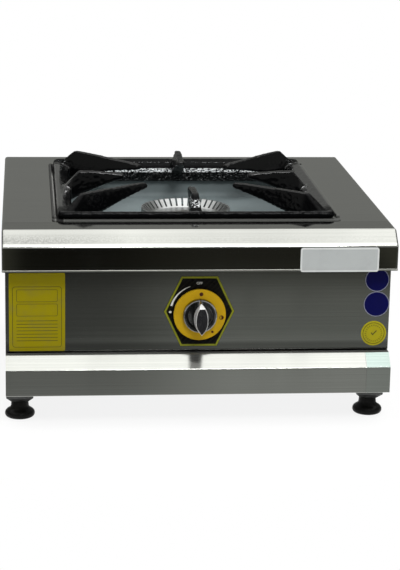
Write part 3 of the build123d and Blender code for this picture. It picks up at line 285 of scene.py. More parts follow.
@dataclass(frozen=True)
class BrushedSheet:
    """Stainless sheet with a fine brushed grain, wiping marks and small scratches.

    Attributes:
        wiped: how much the wiping marks darken it.
        fold: strength of the painted shade on the top plate's front fold.
        bow: how much the top plate falls towards that fold.
        weld: the x beyond which the base's end has a cooler cast.
        ledge: the height above which the base is a matt dark grey, not metal, a painted reflection.
        foot: the height below which the panel grows darker, down to a darker tone still at its edge.
    """

    name: str
    tone: Colour = (0.485, 0.49, 0.465)
    grain: Grain = Grain.ACROSS
    gloss: float = 0.13
    relief: float = 0.10
    wiped: float = 0.22
    fold: float = 0.0
    bow: float = 0.0
    weld: float = 0.0
    cast: Colour = (0.80, 0.955, 0.94)
    ledge: float = 0.0
    # Painted reflection: the matt dark grey of the base's ledge.
    dust: Colour = (0.075, 0.076, 0.071)
    foot: float = 0.0
    # Darker tones towards the panel's foot, and darker still along its edge.
    grime: Colour = (0.06, 0.06, 0.056)
    edge_tone: Colour = (0.16, 0.16, 0.152)

    def make(self) -> Finish:
        """Build the material."""
        b = Bench(self.name)
        grain = self.grain.value
        streak = b.cloud(1.0, 3.0, 0.6, b.place(grain))
        broad = b.cloud(1.0, 3.0, 0.55, b.place(times(grain, 0.05)))
        smear = b.cloud(1.6, 3.0, 0.55, b.place((9.0, 3.0, 2.0), (3.1, 1.7, 0.4))).ramp(0.40, 0.75)
        scuff = b.cells(5.0, b.place([v ** 0.62 for v in grain], (0.3, 0.8, 0.2)))
        colour = b.blend(streak.ramp(0.30, 0.70), times(self.tone, 0.92), times(self.tone, 1.07))
        colour = b.blend(broad.ramp(0.35, 0.75) * 0.14, colour, times(self.tone, 0.90))
        colour = b.blend(smear * self.wiped, colour, times(self.tone, 0.72))
        rough = self.gloss + (streak - 0.5) * 0.08 + (broad - 0.5) * 0.02 + smear * 0.05
        rough = rough + scuff.ramp(0.0, 0.05, 0.05, 0.0)
        metal: Value = 1.0
        if self.fold:
            colour = self._paint_fold_light(b, colour)
        if self.weld:
            colour = self._tinge(b, colour)
        if self.foot:
            colour = self._darken_foot(b, colour)
        if self.ledge:
            # Painted reflection: above ledge the base is a matt dark grey, not metal, in place of what it
            # mirrors.
            dust_and_reflection = b.axes()[2].ramp(self.ledge, self.ledge + 0.2 * MM)
            colour = b.blend(dust_and_reflection, colour, self.dust)
            metal = 1.0 - dust_and_reflection
        fall = self._fall(b) if self.bow else None
        normal = b.bump(streak * 0.7 + broad * 0.3, self.relief, 0.03 * MM, fall)
        return b.surface(Base_Color=colour, Metallic=metal, Roughness=rough.most(0.04), Normal=normal)

    def _paint_fold_light(self, b: Bench, colour: Wire) -> Wire:
        """Paint shade on the plate's front fold, most at its left end, and a painted highlight along its
        lower curve.
        """
        x, y, z = b.axes()
        patch = b.cloud(620.0, 3.0, 0.7)
        front = y.ramp(-0.1835, -0.1845)
        low = z.band((0.2050, 0.1960), (0.1930, 0.1940)) * front
        # Painted shade: the fold is darkened in patches, most at its left end.
        dull = low * x.ramp(-0.20, -0.04, 1.0, 0.22) * (patch.ramp(0.35, 0.62) * 0.8 + 0.2)
        colour = b.blend(dull * self.fold, colour, times(self.tone, 0.45))
        # Painted highlight: a light line along the fold's lower curve.
        bend_highlight = z.band((0.1950, 0.1940), (0.1905, 0.1915)) * front
        return b.blend(bend_highlight * 0.8, colour, times(self.tone, 1.45))

    def _fall(self, b: Bench) -> Wire:
        """Let the plate fall a little towards its front edge, as thin sheet does beside a fold."""
        _, y, z = b.axes()
        return b.bump(y.least(-0.149).most(-0.187) * self.bow, z.ramp(0.2052, 0.2058), 1.0)

    def _darken_foot(self, b: Bench, colour: Wire) -> Wire:
        """Darken the sheet towards its foot, and give its edge a darker tone still."""
        _, _, z = b.axes()
        colour = b.blend(z.ramp(self.foot, self.foot - 7 * MM, 0.0, 0.60), colour, self.grime)
        return b.blend(z.ramp(0.0800, 0.0780, 0.0, 0.9), colour, self.edge_tone)

    def _tinge(self, b: Bench, colour: Wire) -> Wire:
        """Give the base's end beyond its weld a cooler cast."""
        x, _, z = b.axes()
        end = x.ramp(self.weld, self.weld + 0.6 * MM) * z.ramp(0.0625, 0.0645, 0.25, 1.0)
        return b.blend(end, colour, self.cast, "MULTIPLY")


@dataclass(frozen=True)
class ZincSheet:
    """Zinc-coated steel with its soft crystal spangle."""

    name: str
    tone: Colour = (0.46, 0.47, 0.48)
    spangle: float = 130.0
    gloss: float = 0.38

    def make(self) -> Finish:
        """Build the material."""
        b = Bench(self.name)
        patch = b.node("ShaderNodeSeparateColor", {0: b.cells(self.spangle, out="Color")})
        dust = b.cloud(45.0, 4.0)
        colour = b.blend(patch, times(self.tone, 0.82), times(self.tone, 1.15))
        colour = b.blend(dust.ramp(0.5, 0.8) * 0.35, colour, (0.30, 0.30, 0.29))
        rough = self.gloss + (patch - 0.5) * 0.16 + (dust - 0.5) * 0.12
        return b.surface(Base_Color=colour, Metallic=1.0, Roughness=rough,
                         Normal=b.bump(patch + dust, 0.12, 0.1 * MM))


@dataclass(frozen=True)
class CastMetal:
    """Sand-cast or turned metal with a grainy skin and darker hollows."""

    name: str
    tone: Colour
    dark: Colour
    gloss: float = 0.42
    grit: float = 900.0
    relief: float = 0.35

    def make(self) -> Finish:
        """Build the material."""
        b = Bench(self.name)
        sand = b.cloud(self.grit, 3.0, 0.6)
        stain = b.cloud(38.0, 4.0, 0.6)
        colour = b.blend(stain.ramp(0.40, 0.72) * 0.75, self.tone, self.dark)
        colour = b.blend(sand.ramp(0.55, 0.75) * 0.35, colour, times(self.tone, 0.7))
        rough = self.gloss + (sand - 0.5) * 0.2 + (stain - 0.5) * 0.16
        return b.surface(Base_Color=colour, Metallic=1.0, Roughness=rough,
                         Normal=b.bump(sand, self.relief, 0.2 * MM))


@dataclass(frozen=True)
class CrownMetal:
    """Machined burner crown: bright lands, heat tint towards its middle."""

    name: str = "crown_bright"
    tone: Colour = (0.44, 0.45, 0.45)
    stained: Colour = (0.32, 0.32, 0.305)
    burnt: Colour = (0.22, 0.20, 0.18)

    def make(self) -> Finish:
        """Build the material."""
        b = Bench(self.name)
        x, y, _ = b.axes()
        radius = (x * x + y * y) ** 0.5
        turned = (radius * 9000.0).wave() * 0.5 + 0.5
        stain = b.cloud(60.0, 4.0, 0.6)
        colour = b.blend(stain.ramp(0.42, 0.75) * 0.5, self.tone, self.stained)
        colour = b.blend(radius.ramp(0.030, 0.012) * 0.6, colour, self.burnt)
        rough = 0.30 + (stain - 0.5) * 0.2 + turned * 0.05
        return b.surface(Base_Color=colour, Metallic=1.0, Roughness=rough,
                         Normal=b.bump(turned * 0.4 + stain, 0.15, 0.1 * MM))


@dataclass(frozen=True)
class TraySteel:
    """Pressed drip tray: blue-grey satin with wiped stains and a bright rim, with painted shadow,
    highlight and reflection at its edges.

    Attributes:
        rim_at: where the rim starts and where it is full, off the tray's middle.
        bead: outer and inner place of the left bead's flank, painted dark, and of the inner side of its
            painted light line.
    """

    name: str = "tray_steel"
    tone: Colour = (0.128, 0.154, 0.157)
    spot: Colour = (0.25, 0.27, 0.27)
    rim: Colour = (0.46, 0.465, 0.44)
    # Painted shadow: the gap at the tray's left and the top of its back wall under the rail.
    shadow_black: Colour = (0.006, 0.006, 0.006)
    # Painted reflection on the front rim, and at half, painted shadow on the left bead's outer flank.
    painted_grey: Colour = (0.055, 0.056, 0.053)
    # Painted highlight: the light line along the top of the left bead.
    rubbed: Colour = (0.19, 0.19, 0.18)
    rim_at: Spot = (0.1365, 0.1375)
    bead: Tuple[Spot, Spot] = ((-0.1469, -0.1461), (-0.1445, -0.1451))

    def make(self) -> Finish:
        """Build the material."""
        b = Bench(self.name)
        x, y, z = b.axes()
        smear = b.cloud(14.0, 4.0, 0.6)
        grain = b.cloud(420.0, 3.0, 0.6, b.place((1, 1, 1), (0.2, 0.1, 0.0)))
        colour = b.blend(smear.ramp(0.35, 0.70), times(self.tone, 0.86), times(self.tone, 1.10))
        colour = b.blend(grain.ramp(0.5, 0.75) * 0.2, colour, times(self.tone, 0.8))
        colour = b.blend(b.cells(60.0).ramp(0.14, 0.09) * 0.10, colour, self.spot)
        edge = abs(x).most(abs(y)).ramp(*self.rim_at)
        left, front = (axis.ramp(*times(self.rim_at, -1)) for axis in (x, y))
        # Painted shadow: black along the left rim's gap and the top of the back wall, under the rail.
        back = y.ramp(0.1275, 0.1295) * z.ramp(0.1985, 0.2020)
        colour = b.blend(left.most(back), b.blend(edge, colour, self.rim), self.shadow_black)
        # Painted reflection: the front rim is a matt dark grey, not metal, in place of what it mirrors.
        colour = b.blend(front * (1.0 - left), colour, self.painted_grey)
        # Painted shadow on the left bead's outer flank, and a painted highlight along its top.
        flank = x.ramp(*reversed(self.bead[0]))
        crest_highlight = x.band(*self.bead) * y.ramp(0.10, 0.06) * y.ramp(-0.14, -0.06, 0.5, 1.0)
        colour = b.blend(flank, colour, times(self.painted_grey, 0.5))
        colour = b.blend(crest_highlight, colour, self.rubbed)
        rough = 0.62 + (smear - 0.5) * 0.20 + (grain - 0.5) * 0.08 - edge * 0.50
        rough = rough + left.most(front).most(back) * 0.5
        return b.surface(Base_Color=colour, Metallic=(edge - front - back - flank - crest_highlight).most(0.0),
                         Roughness=rough.most(0.06), Specular_IOR_Level=0.2,
                         Normal=b.bump(smear + grain * 0.3, 0.10, 0.2 * MM))


@dataclass(frozen=True)
class CastEnamel:
    """Black glass enamel over rough iron: deep gloss on the lumps, and white glints painted along the rear
    rail and the middle fingers.

    Attributes:
        worn: colour of the worn patches.
        glint_white: white of the glints painted on the lumps.
        step: lower and upper place of the step along the rear rail's face.
    """

    name: str = "grate_enamel"
    tone: Colour = (0.0013, 0.0014, 0.0016)
    worn: Colour = (0.005, 0.005, 0.0055)
    glint_white: Colour = (0.90, 0.93, 0.94)
    step: Spot = (0.2054, 0.2066)

    def make(self) -> Finish:
        """Build the material."""
        b = Bench(self.name)
        x, y, z = b.axes()
        lump = b.cloud(330.0, 1.0, 0.5)
        peel = b.cloud(1500.0, 2.0, 0.5)
        wear = b.cloud(24.0, 4.0, 0.6)
        rail = y.band((0.118, 0.124), (0.1360, 0.1335)) * z.ramp(0.2200, 0.2165)
        spine = abs(x).ramp(0.010, 0.008) * y.ramp(-0.096, -0.102)
        spine = spine * z.ramp(0.2160, 0.2168) * z.ramp(0.2240, 0.2225)
        coarse = 0.07 + rail * 0.3 * z.ramp(*reversed(self.step))
        glint_mask = self._painted_glints(b, rail * z, rail, spine)
        colour = b.blend(wear.ramp(0.55, 0.75) * 0.4, self.tone, self.worn)
        # Painted highlight: white glints in the base colour.
        colour = b.blend(glint_mask, colour, self.glint_white)
        face = z.ramp(0.2149, 0.2144).most(y.ramp(-0.1395, -0.1380))
        front = y.ramp(-0.116, -0.122) * face
        dull = front.most(y.ramp(0.122, 0.126) * z.ramp(*self.step) * z.ramp(0.2185, 0.2165))
        rough = 0.09 + (wear - 0.5) * 0.12 + (peel - 0.5) * 0.05
        rough = rough + dull * 0.42 - front * 0.30 + glint_mask * 0.15
        sides = abs(x).ramp(0.122, 0.127) * abs(y).ramp(0.116, 0.110)
        coat = sides.most(0.4 - dull * 0.4).most(1.0 - face)
        return b.surface(Base_Color=colour, Roughness=rough.most(0.05), Specular_IOR_Level=0.05,
                         Coat_Weight=coat, Coat_Roughness=0.08,
                         Normal=b.bump(lump * coarse + peel * 0.02, 1.0, 3.8 * MM))

    def _painted_glints(self, b: Bench, height: Wire, rail: Wire, spine: Wire) -> Wire:
        """Glints painted white on the lumps' tops: thick along the rear rail's face, thin below, some on
        the spine.
        """
        speck = b.cloud(900.0, 2.0, 0.6, b.place((0.5, 1.0, 1.0)))
        below = height.ramp(*reversed(self.step))
        thick = speck.ramp(0.46, 0.56) * height.ramp(0.2008, 0.2028) * below
        thin = speck.ramp(0.58, 0.70) * rail * below * 0.16
        return thick.most(thin).most(speck.ramp(0.52, 0.60) * spine * 0.8)


@dataclass(frozen=True)
class Moulded:
    """Moulded plastic with a faint pebbled skin, rubbed where hands touch it."""

    name: str
    tone: Colour
    gloss: float = 0.38
    pebble: float = 1600.0
    relief: float = 0.25
    rub: Colour = (0.05, 0.05, 0.05)
    shine: float = 0.25

    def make(self) -> Finish:
        """Build the material."""
        b = Bench(self.name)
        skin = b.cells(self.pebble)
        dust = b.cloud(70.0, 4.0, 0.6)
        colour = b.blend(dust.ramp(0.48, 0.78) * 0.4, self.tone, self.rub)
        rough = self.gloss + (dust - 0.5) * 0.18 + (skin - 0.3) * 0.1
        return b.surface(Base_Color=colour, Roughness=rough.most(0.08), Specular_IOR_Level=self.shine,
                         Normal=b.bump(skin, self.relief, 0.1 * MM))


@dataclass(frozen=True)
class Chrome:
    """Satin chrome on the knob's cap, with fine handling scratches."""

    name: str = "knob_chrome"
    # The default tone is far darker than chrome: painted shade on the knob's cap beside its brighter rim.
    tone: Colour = (0.22, 0.22, 0.225)
    gloss: float = 0.12
    metal: float = 1.0

    def make(self) -> Finish:
        """Build the material."""
        b = Bench(self.name)
        haze = b.cloud(190.0, 4.0, 0.6)
        hair = b.cloud(1.0, 2.0, 0.5, b.place((300, 60, 2500)))
        colour = b.blend(haze.ramp(0.4, 0.7) * 0.4, self.tone, times(self.tone, 0.7))
        rough = self.gloss + (haze - 0.5) * 0.14 + (hair - 0.5) * 0.08
        return b.surface(Base_Color=colour, Metallic=self.metal, Roughness=rough.most(0.05),
                         Normal=b.bump(hair, 0.06, 0.1 * MM))


@dataclass(frozen=True)
class DialPrint:
    """Printed black plate with a faint slanting hatch and a little dust."""

    name: str = "dial_print"
    tone: Colour = (0.0030, 0.0028, 0.0026)
    line: Colour = (0.022, 0.019, 0.008)
    dust_and_reflection: Colour = (0.03, 0.03, 0.025)

    def make(self) -> Finish:
        """Build the material."""
        b = Bench(self.name)
        x, _, z = b.axes()
        hatch = ((x - z) * 1150.0).wave().ramp(0.80, 0.98)
        dust = b.cloud(160.0, 4.0, 0.6)
        colour = b.blend(hatch * 0.5, self.tone, self.line)
        colour = b.blend(dust.ramp(0.55, 0.8) * 0.2, colour, self.dust_and_reflection)
        rough = 0.30 + (dust - 0.5) * 0.2 + hatch * 0.08
        return b.surface(Base_Color=colour, Roughness=rough, Specular_IOR_Level=0.10,
                         Normal=b.bump(hatch, 0.1, 0.05 * MM))


@dataclass(frozen=True)
class Vinyl:
    """Printed vinyl: even ink, slight orange peel, a little grime."""

    name: str
    tone: Colour
    grime: Colour = (0.10, 0.09, 0.04)
    gloss: float = 0.33

    def make(self) -> Finish:
        """Build the material."""
        b = Bench(self.name)
        ink = b.cloud(55.0, 5.0, 0.6)
        fleck = b.cloud(1300.0, 2.0, 0.5)
        colour = b.blend(ink.ramp(0.42, 0.80) * 0.30, self.tone, self.grime)
        colour = b.blend(fleck.ramp(0.58, 0.72) * 0.16, colour, times(self.tone, 0.6))
        rough = self.gloss + (ink - 0.5) * 0.16 + (fleck - 0.5) * 0.08
        return b.surface(Base_Color=colour, Roughness=rough, Specular_IOR_Level=0.05,
                         Normal=b.bump(ink + fleck * 0.3, 0.12, 0.1 * MM))


# Meshes


def mm(*values: float) -> Tuple[float, ...]:
    """Millimetres as metres."""
    return times(values, MM)


def link(name: str, data: Any) -> Piece:
    """Put a mesh, a curve, a lamp or a lens into the scene as an object at the origin."""
    piece = bpy.data.objects.new(name, data)
    bpy.context.scene.collection.objects.link(piece)
    return piece


def final_mesh(piece: Piece) -> bpy.types.Mesh:
    """What a piece is once its modifiers or its letters are worked out."""
    bpy.context.view_layer.update()
    return bpy.data.meshes.new_from_object(piece.evaluated_get(bpy.context.evaluated_depsgraph_get()))


def flatten(piece: Piece) -> Piece:
    """Turn what a piece's modifiers make into its own plain mesh."""
    result = final_mesh(piece)
    old = piece.data
    piece.modifiers.clear()
    piece.data = result
    result.name = piece.name
    bpy.data.meshes.remove(old)
    return piece


def around(middle: Spot, radius: float, angle: float) -> Spot:
    """The point at a radius and an angle in radians from a middle."""
    return middle[0] + radius * math.cos(angle), middle[1] + radius * math.sin(angle)


def circle(middle: Spot, radius: float, steps: int = 72) -> List[Spot]:
    """Points of a circle, anticlockwise."""
    return [around(middle, radius, 2 * math.pi * i / steps) for i in range(steps)]


def off_axis(x: float, z: float) -> Spot:
    """A place on the front, from its distances off the knob's axis."""
    return AXIS[0] + x, AXIS[1] + z


def upright(line: Iterable[Spot], y: float) -> List[Point]:
    """Stand a line of x and z up at one depth."""
    return [(x, y, z) for x, z in line]


def rounded(middle: Spot, size: Spot, radius: float, steps: int = 8) -> List[Spot]:
    """Corner points of a rectangle with round corners, anticlockwise.

    Args:
        middle: its middle.
        size: its width and height.
        radius: of its corners.
        steps: points on each corner.

    Returns:
        The points.
    """
    points = []
    for quarter, (sx, sz) in enumerate(((1, 1), (-1, 1), (-1, -1), (1, -1))):
        corner = (middle[0] + sx * (size[0] / 2 - radius), middle[1] + sz * (size[1] / 2 - radius))
        points += [around(corner, radius, QUARTER * (quarter + step / steps)) for step in range(steps + 1)]
    return points


class Draft:
    """A mesh under construction, which ends as a piece at the origin."""

    def __init__(self, mesh: Optional[bpy.types.Mesh] = None) -> None:
        """Start empty, or from a mesh."""
        self.shape = bmesh.new()
        if mesh:
            self.shape.from_mesh(mesh)

    def row(self, points: Iterable[Sequence[float]]) -> Row:
        """Add a row of corners."""
        return [self.shape.verts.new(point) for point in points]

    def join(self, rows: Sequence[Row], closed: bool = True) -> List[List[bmesh.types.BMFace]]:
        """Join each row of corners to the next; a row of one corner is a tip.

        Args:
            rows: the rows.
            closed: whether the faces run all round.

        Returns:
            The faces between each two rows.
        """
        count = max(len(row) for row in rows)
        made = []
        for low, high in zip(rows, rows[1:]):
            faces = []
            for i in range(count if closed else count - 1):
                j = (i + 1) % count
                ring = low[i % len(low)], low[j % len(low)], high[j % len(high)], high[i % len(high)]
                faces.append(self.shape.faces.new(tuple(dict.fromkeys(ring))))
            made.append(faces)
        return made

    def loft(self, rows: Sequence[Row]) -> List[List[bmesh.types.BMFace]]:
        """Join rows of corners all round and close both ends."""
        made = self.join(rows)
        self.shape.faces.new(rows[-1])
        self.shape.faces.new(tuple(reversed(rows[0])))
        return made

    def plate(self, outline: Outline, back: float, thick: float, ease: float) -> "Draft":
        """Add a flat plate that faces the front, with its front edge eased.

        Args:
            outline: its points in x and z, in metres.
            back: the y of its back.
            thick: its thickness.
            ease: width of the eased edge.

        Returns:
            The draft.
        """
        centre = Vector([sum(values) / len(outline) for values in zip(*outline)])
        rows = []
        for depth, inset in ((0.0, 0.0), (thick - ease, 0.0), (thick, ease)):
            arms = [Vector(spot) - centre for spot in outline]
            line = [centre + arm * max(0.0, 1 - inset / max(arm.length, TINY)) for arm in arms]
            rows.append(self.row(upright(line, back - depth)))
        self.loft(rows)
        return self

    def band(self, outer: Outline, inner: Outline, back: float, thick: float,
             closed: bool = True) -> "Draft":
        """Add a flat band between two outlines of as many points.

        Args:
            outer: outer points in x and z.
            inner: inner points.
            back: the y of its back.
            thick: its thickness.
            closed: whether the band runs all round.

        Returns:
            The draft.
        """
        front = back - thick
        corners = ((outer, back), (outer, front), (inner, front), (inner, back))
        rings = [self.row(upright(line, y)) for line, y in corners]
        self.join(rings + rings[:1], closed)
        if not closed:
            self.shape.faces.new([ring[0] for ring in rings])
            self.shape.faces.new([ring[-1] for ring in reversed(rings)])
        return self

    def done(self, name: str, finish: Finish, smooth: bool = False) -> Piece:
        """Turn the shape into a piece.

        Args:
            name: the piece's name.
            finish: its material.
            smooth: whether its faces shade smoothly.

        Returns:
            The piece.
        """
        bmesh.ops.remove_doubles(self.shape, verts=self.shape.verts, dist=NEAR)
        bmesh.ops.recalc_face_normals(self.shape, faces=self.shape.faces)
        for face in self.shape.faces:
            face.smooth = smooth
        mesh = bpy.data.meshes.new(name)
        self.shape.to_mesh(mesh)
        self.shape.free()
        mesh.materials.append(finish)
        return link(name, mesh)


# Repeated shapes


class ShapeTree(Board):
    """A Geometry Nodes tree with named inputs, whose result becomes a plain mesh."""

    def __init__(self, name: str, inputs: Sequence[Tuple[str, str]]) -> None:
        """Start the tree.

        Args:
            name: the tree's name.
            inputs: its inputs, each a name and a kind of socket.
        """
        tree = bpy.data.node_groups.new(name, "GeometryNodeTree")
        super().__init__(tree)
        self.ids = {}
        for label, kind in (*inputs, ("Finish", "Material")):
            made = tree.interface.new_socket(name=label, in_out="INPUT", socket_type="NodeSocket" + kind)
            self.ids[label] = made.identifier
        tree.interface.new_socket(name="Shape", in_out="OUTPUT", socket_type="NodeSocketGeometry")
        given = tree.nodes.new("NodeGroupInput")
        self.pick = {socket.name: Wire(self, socket) for socket in given.outputs if socket.name}

    def stand(self, shape: Wire, place: str, turn: float) -> Wire:
        """Turn a shape about x and move it to the place that an input names."""
        sockets = {"Geometry": shape, "Translation": self.pick[place], "Rotation": (turn, 0, 0)}
        return self.node("GeometryNodeTransform", sockets)

    def copy(self, points: Wire, **sockets: Value) -> Wire:
        """Put the input shape on each point."""
        given = {"Points": points, "Instance": self.pick["Shape"]}
        return self.node("GeometryNodeInstanceOnPoints", given | sockets)

    def end(self, shapes: Wire) -> None:
        """Make the copies real, dress them and join them to the output."""
        real = self.node("GeometryNodeRealizeInstances", {"Geometry": shapes})
        dressed = self.node("GeometryNodeSetMaterial", {"Geometry": real, "Material": self.pick["Finish"]})
        self.tree.links.new(dressed.socket, self.tree.nodes.new("NodeGroupOutput").inputs[0])

    def apply(self, piece: Piece, **values: Any) -> Piece:
        """Run the tree on a piece and leave a plain mesh.

        Args:
            piece: the object whose shape is used.
            **values: the tree's inputs, with _ for a space.

        Returns:
            The same object, with the result in its mesh.
        """
        modifier = piece.modifiers.new("shape", "NODES")
        modifier.node_group = self.tree
        for name, value in values.items():
            modifier[self.ids[name.replace("_", " ")]] = value
        return flatten(piece)


class EvenRows(ShapeTree):
    """Repeats one upright shape in even rows."""

    def __init__(self) -> None:
        """Build the tree."""
        super().__init__("even_rows", (
            ("Shape", "Geometry"), ("Columns", "Int"), ("Rows", "Int"), ("Column Pitch", "Float"),
            ("Row Pitch", "Float"), ("Middle", "Vector")))
        columns, rows = self.pick["Columns"], self.pick["Rows"]
        wide = (columns - 1) * self.pick["Column Pitch"]
        tall = (rows - 1) * self.pick["Row Pitch"]
        grid = self.node("GeometryNodeMeshGrid", {
            "Size X": wide, "Size Y": tall, "Vertices X": columns, "Vertices Y": rows})
        self.end(self.copy(self.stand(grid, "Middle", QUARTER)))


class EvenRing(ShapeTree):
    """Repeats one upright shape round a circle, turned outwards."""

    def __init__(self) -> None:
        """Build the tree."""
        super().__init__("even_ring", (
            ("Shape", "Geometry"), ("Count", "Int"), ("Radius", "Float"), ("Middle", "Vector")))
        count = self.pick["Count"]
        ring = self.node("GeometryNodeMeshCircle", {"Vertices": count, "Radius": self.pick["Radius"]})
        angle = self.node("GeometryNodeInputIndex") * (-2 * math.pi) / count
        turn = self.node("ShaderNodeCombineXYZ", {"Y": angle})
        self.end(self.copy(self.stand(ring, "Middle", QUARTER), Rotation=turn))


class Thread(ShapeTree):
    """Winds a ridge or a wire round a line that runs backwards."""

    def __init__(self) -> None:
        """Build the tree."""
        super().__init__("thread_ridge", (
            ("Turns", "Float"), ("Radius", "Float"), ("Length", "Float"), ("Ridge", "Float"),
            ("Sides", "Int"), ("Start", "Vector")))
        pick = self.pick
        path = self.node("GeometryNodeCurveSpiral", {
            "Resolution": 48, "Rotations": pick["Turns"], "Start Radius": pick["Radius"],
            "End Radius": pick["Radius"], "Height": pick["Length"]})
        ridge = self.node("GeometryNodeCurvePrimitiveCircle", {
            "Resolution": pick["Sides"], "Radius": pick["Ridge"]})
        wound = self.node("GeometryNodeCurveToMesh", {
            "Curve": path, "Profile Curve": ridge, "Fill Caps": True})
        self.end(self.stand(wound, "Start", -QUARTER))

    def wind(self, name: str, **values: Any) -> Piece:
        """Wind a new piece from the tree's inputs."""
        return self.apply(link(name, bpy.data.meshes.new(name)), **values)


# Sub-assemblies


class Dresser:
    """Gives every CAD node its finish."""

    SLOTS = {
        "stainless_sheet": BrushedSheet("steel_front"),
        "zinc_sheet": ZincSheet("zinc_sheet"),
        "zinc_steel": ZincSheet("zinc_bright", tone=(0.60, 0.60, 0.59), spangle=420.0, gloss=0.30),
        "brass": CastMetal("brass", (0.66, 0.50, 0.22), (0.34, 0.24, 0.10), gloss=0.28, relief=0.12),
        "aluminium_pipe": CastMetal("pipe_aluminium", (0.64, 0.65, 0.66), (0.40, 0.41, 0.42), gloss=0.34,
                                    relief=0.12),
        "cast_aluminium": CastMetal("cast_aluminium", (0.50, 0.50, 0.49), (0.20, 0.20, 0.19), gloss=0.46),
        "burner_crown": CrownMetal(),
        "tray_steel": TraySteel(),
        "black_enamel": CastEnamel(),
        "dial_black": DialPrint(),
        "knob_black": Moulded("knob_black", (0.012, 0.012, 0.012), gloss=0.35),
        "knob_yellow": Moulded("ring_yellow", (0.335, 0.205, 0.0035), gloss=0.30, relief=0.06,
                               rub=(0.22, 0.13, 0.003), shine=0.07),
        "knob_chrome": Chrome(),
        "foot_black": Moulded("foot_rubber", (0.0045, 0.0045, 0.004), gloss=0.34,
                              rub=(0.008, 0.008, 0.0075), shine=0.10),
    }
    SIDE = BrushedSheet("steel_side", grain=Grain.BACKWARD, gloss=0.18)
    NODES = {
        "top_plate": BrushedSheet("steel_top", tone=(0.475, 0.48, 0.455), gloss=0.075, relief=0.04,
                                  wiped=0.12, fold=0.7, bow=0.075),
        "left_side_panel": SIDE,
        "right_side_panel": SIDE,
        "base_front": BrushedSheet("steel_base", weld=0.1722, ledge=0.0756),
        "control_panel": BrushedSheet("steel_panel", foot=0.0895),
        "foot_cups": ZincSheet("zinc_dull", tone=(0.125, 0.128, 0.125), gloss=0.44),
    }

    def __init__(self) -> None:
        """Make each finish once."""
        wanted = dict.fromkeys([*self.SLOTS.values(), *self.NODES.values()])
        made = {finish: finish.make() for finish in wanted}
        self.by_slot = {slot: made[finish] for slot, finish in self.SLOTS.items()}
        self.by_node = {node: made[finish] for node, finish in self.NODES.items()}

    def dress(self) -> None:
        """Give each CAD node the finish of its slot, or its own."""
        for part in frame["record"]["subparts"]:
            name, slot = part["node"], part["material_slot"]
            node = frame["nodes"][name]
            finish = self.by_node.get(name, self.by_slot[slot])
            if not node.material_slots:
                node.data.materials.append(finish)
            for held in node.material_slots:
                held.material = finish
            log.info("dressed %s in %s", name, finish.name)


@dataclass
class Grate:
    """Enamelled cast grate: the CAD casting with a lumpy glassy skin.

    Attributes:
        rail: where the rear rail's rough face starts and ends.
        rail_top: height below which it is rough.
        spine_half: half the width of the rough middle fingers.
        edge: y and z of the rear rail's inner edge.
        ease: radius of that edge.
        eased: between which distances from the middle it is rounded.
        fade: over which length the rounding fades out.
        shares: of the lumps that rough, flat and other faces get.
        sink: share of a lump by which the skin is drawn in.
    """

    voxel: float = 1.35 * MM
    lump: float = 0.40 * MM
    lump_size: float = 3.6 * MM
    dimple: float = 0.20 * MM
    dimple_size: float = 1.8 * MM
    rail: Spot = (110.0 * MM, 132.0 * MM)
    rail_top: float = 219.0 * MM
    spine_half: float = 13.0 * MM
    edge: Spot = (127.0 * MM, 215.0 * MM)
    ease: float = 8.0 * MM
    eased: Spot = (15.0 * MM, 92.0 * MM)
    fade: float = 4.0 * MM
    shares: Point = (1.5, 0.35, 0.6)
    sink: float = 0.4

    def build(self, finish: Finish) -> Piece:
        """Cast the piece from the CAD node, in its enamel."""
        piece = Draft(frame["nodes"]["grate"].data).done("cast_grate", finish, smooth=True)
        remesh = piece.modifiers.new("skin", "REMESH")
        remesh.mode = "VOXEL"
        remesh.voxel_size = self.voxel
        remesh.use_smooth_shade = True
        ease = piece.modifiers.new("ease", "SMOOTH")
        ease.factor = 0.5
        ease.iterations = 2
        flatten(piece)
        self._roughen(piece.data)
        piece.data.materials.clear()
        piece.data.materials.append(finish)
        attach(piece, "grate")
        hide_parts("grate")
        return piece

    def _roughen(self, mesh: bpy.types.Mesh) -> None:
        """Push the skin in and out like sand-cast iron under enamel."""
        skin = [(vertex.co.copy(), vertex.normal.copy()) for vertex in mesh.vertices]
        start, end = self.rail
        rough, even, plain = self.shares
        moved: List[float] = []
        for here, out in skin:
            here = self._ease_edge(here)
            wide = noise.noise(here / self.lump_size)
            fine = noise.noise(here / self.dimple_size + Vector((7.1, 3.3, 1.9)))
            rail = start < here.y < end and here.z < self.rail_top
            flat = max(abs(here.x), here.y) > end
            share = rough if rail or abs(here.x) < self.spine_half else even if flat else plain
            push = (wide * self.lump + fine * self.dimple) * share - self.lump * self.sink
            moved.extend(here + out * push)
        mesh.vertices.foreach_set("co", moved)
        mesh.update()

    def _ease_edge(self, spot: Vector) -> Vector:
        """Draw a point that stands outside the rear rail's rounded inner edge back to it."""
        slack = 2 * MM
        middle = Vector((self.edge[0] + self.ease, self.edge[1] - self.ease))
        arm = Vector((spot.y, spot.z)) - middle
        share = min(abs(spot.x) - self.eased[0], self.eased[1] - abs(spot.x)) / self.fade
        near = self.edge[0] - slack < spot.y < middle.x and middle.y < spot.z < self.edge[1] + slack
        if share <= 0 or not near or arm.length <= self.ease:
            return spot
        eased = middle + arm.normalized() * self.ease
        return spot.lerp(Vector((spot.x, eased.x, eased.y)), min(share, 1.0))


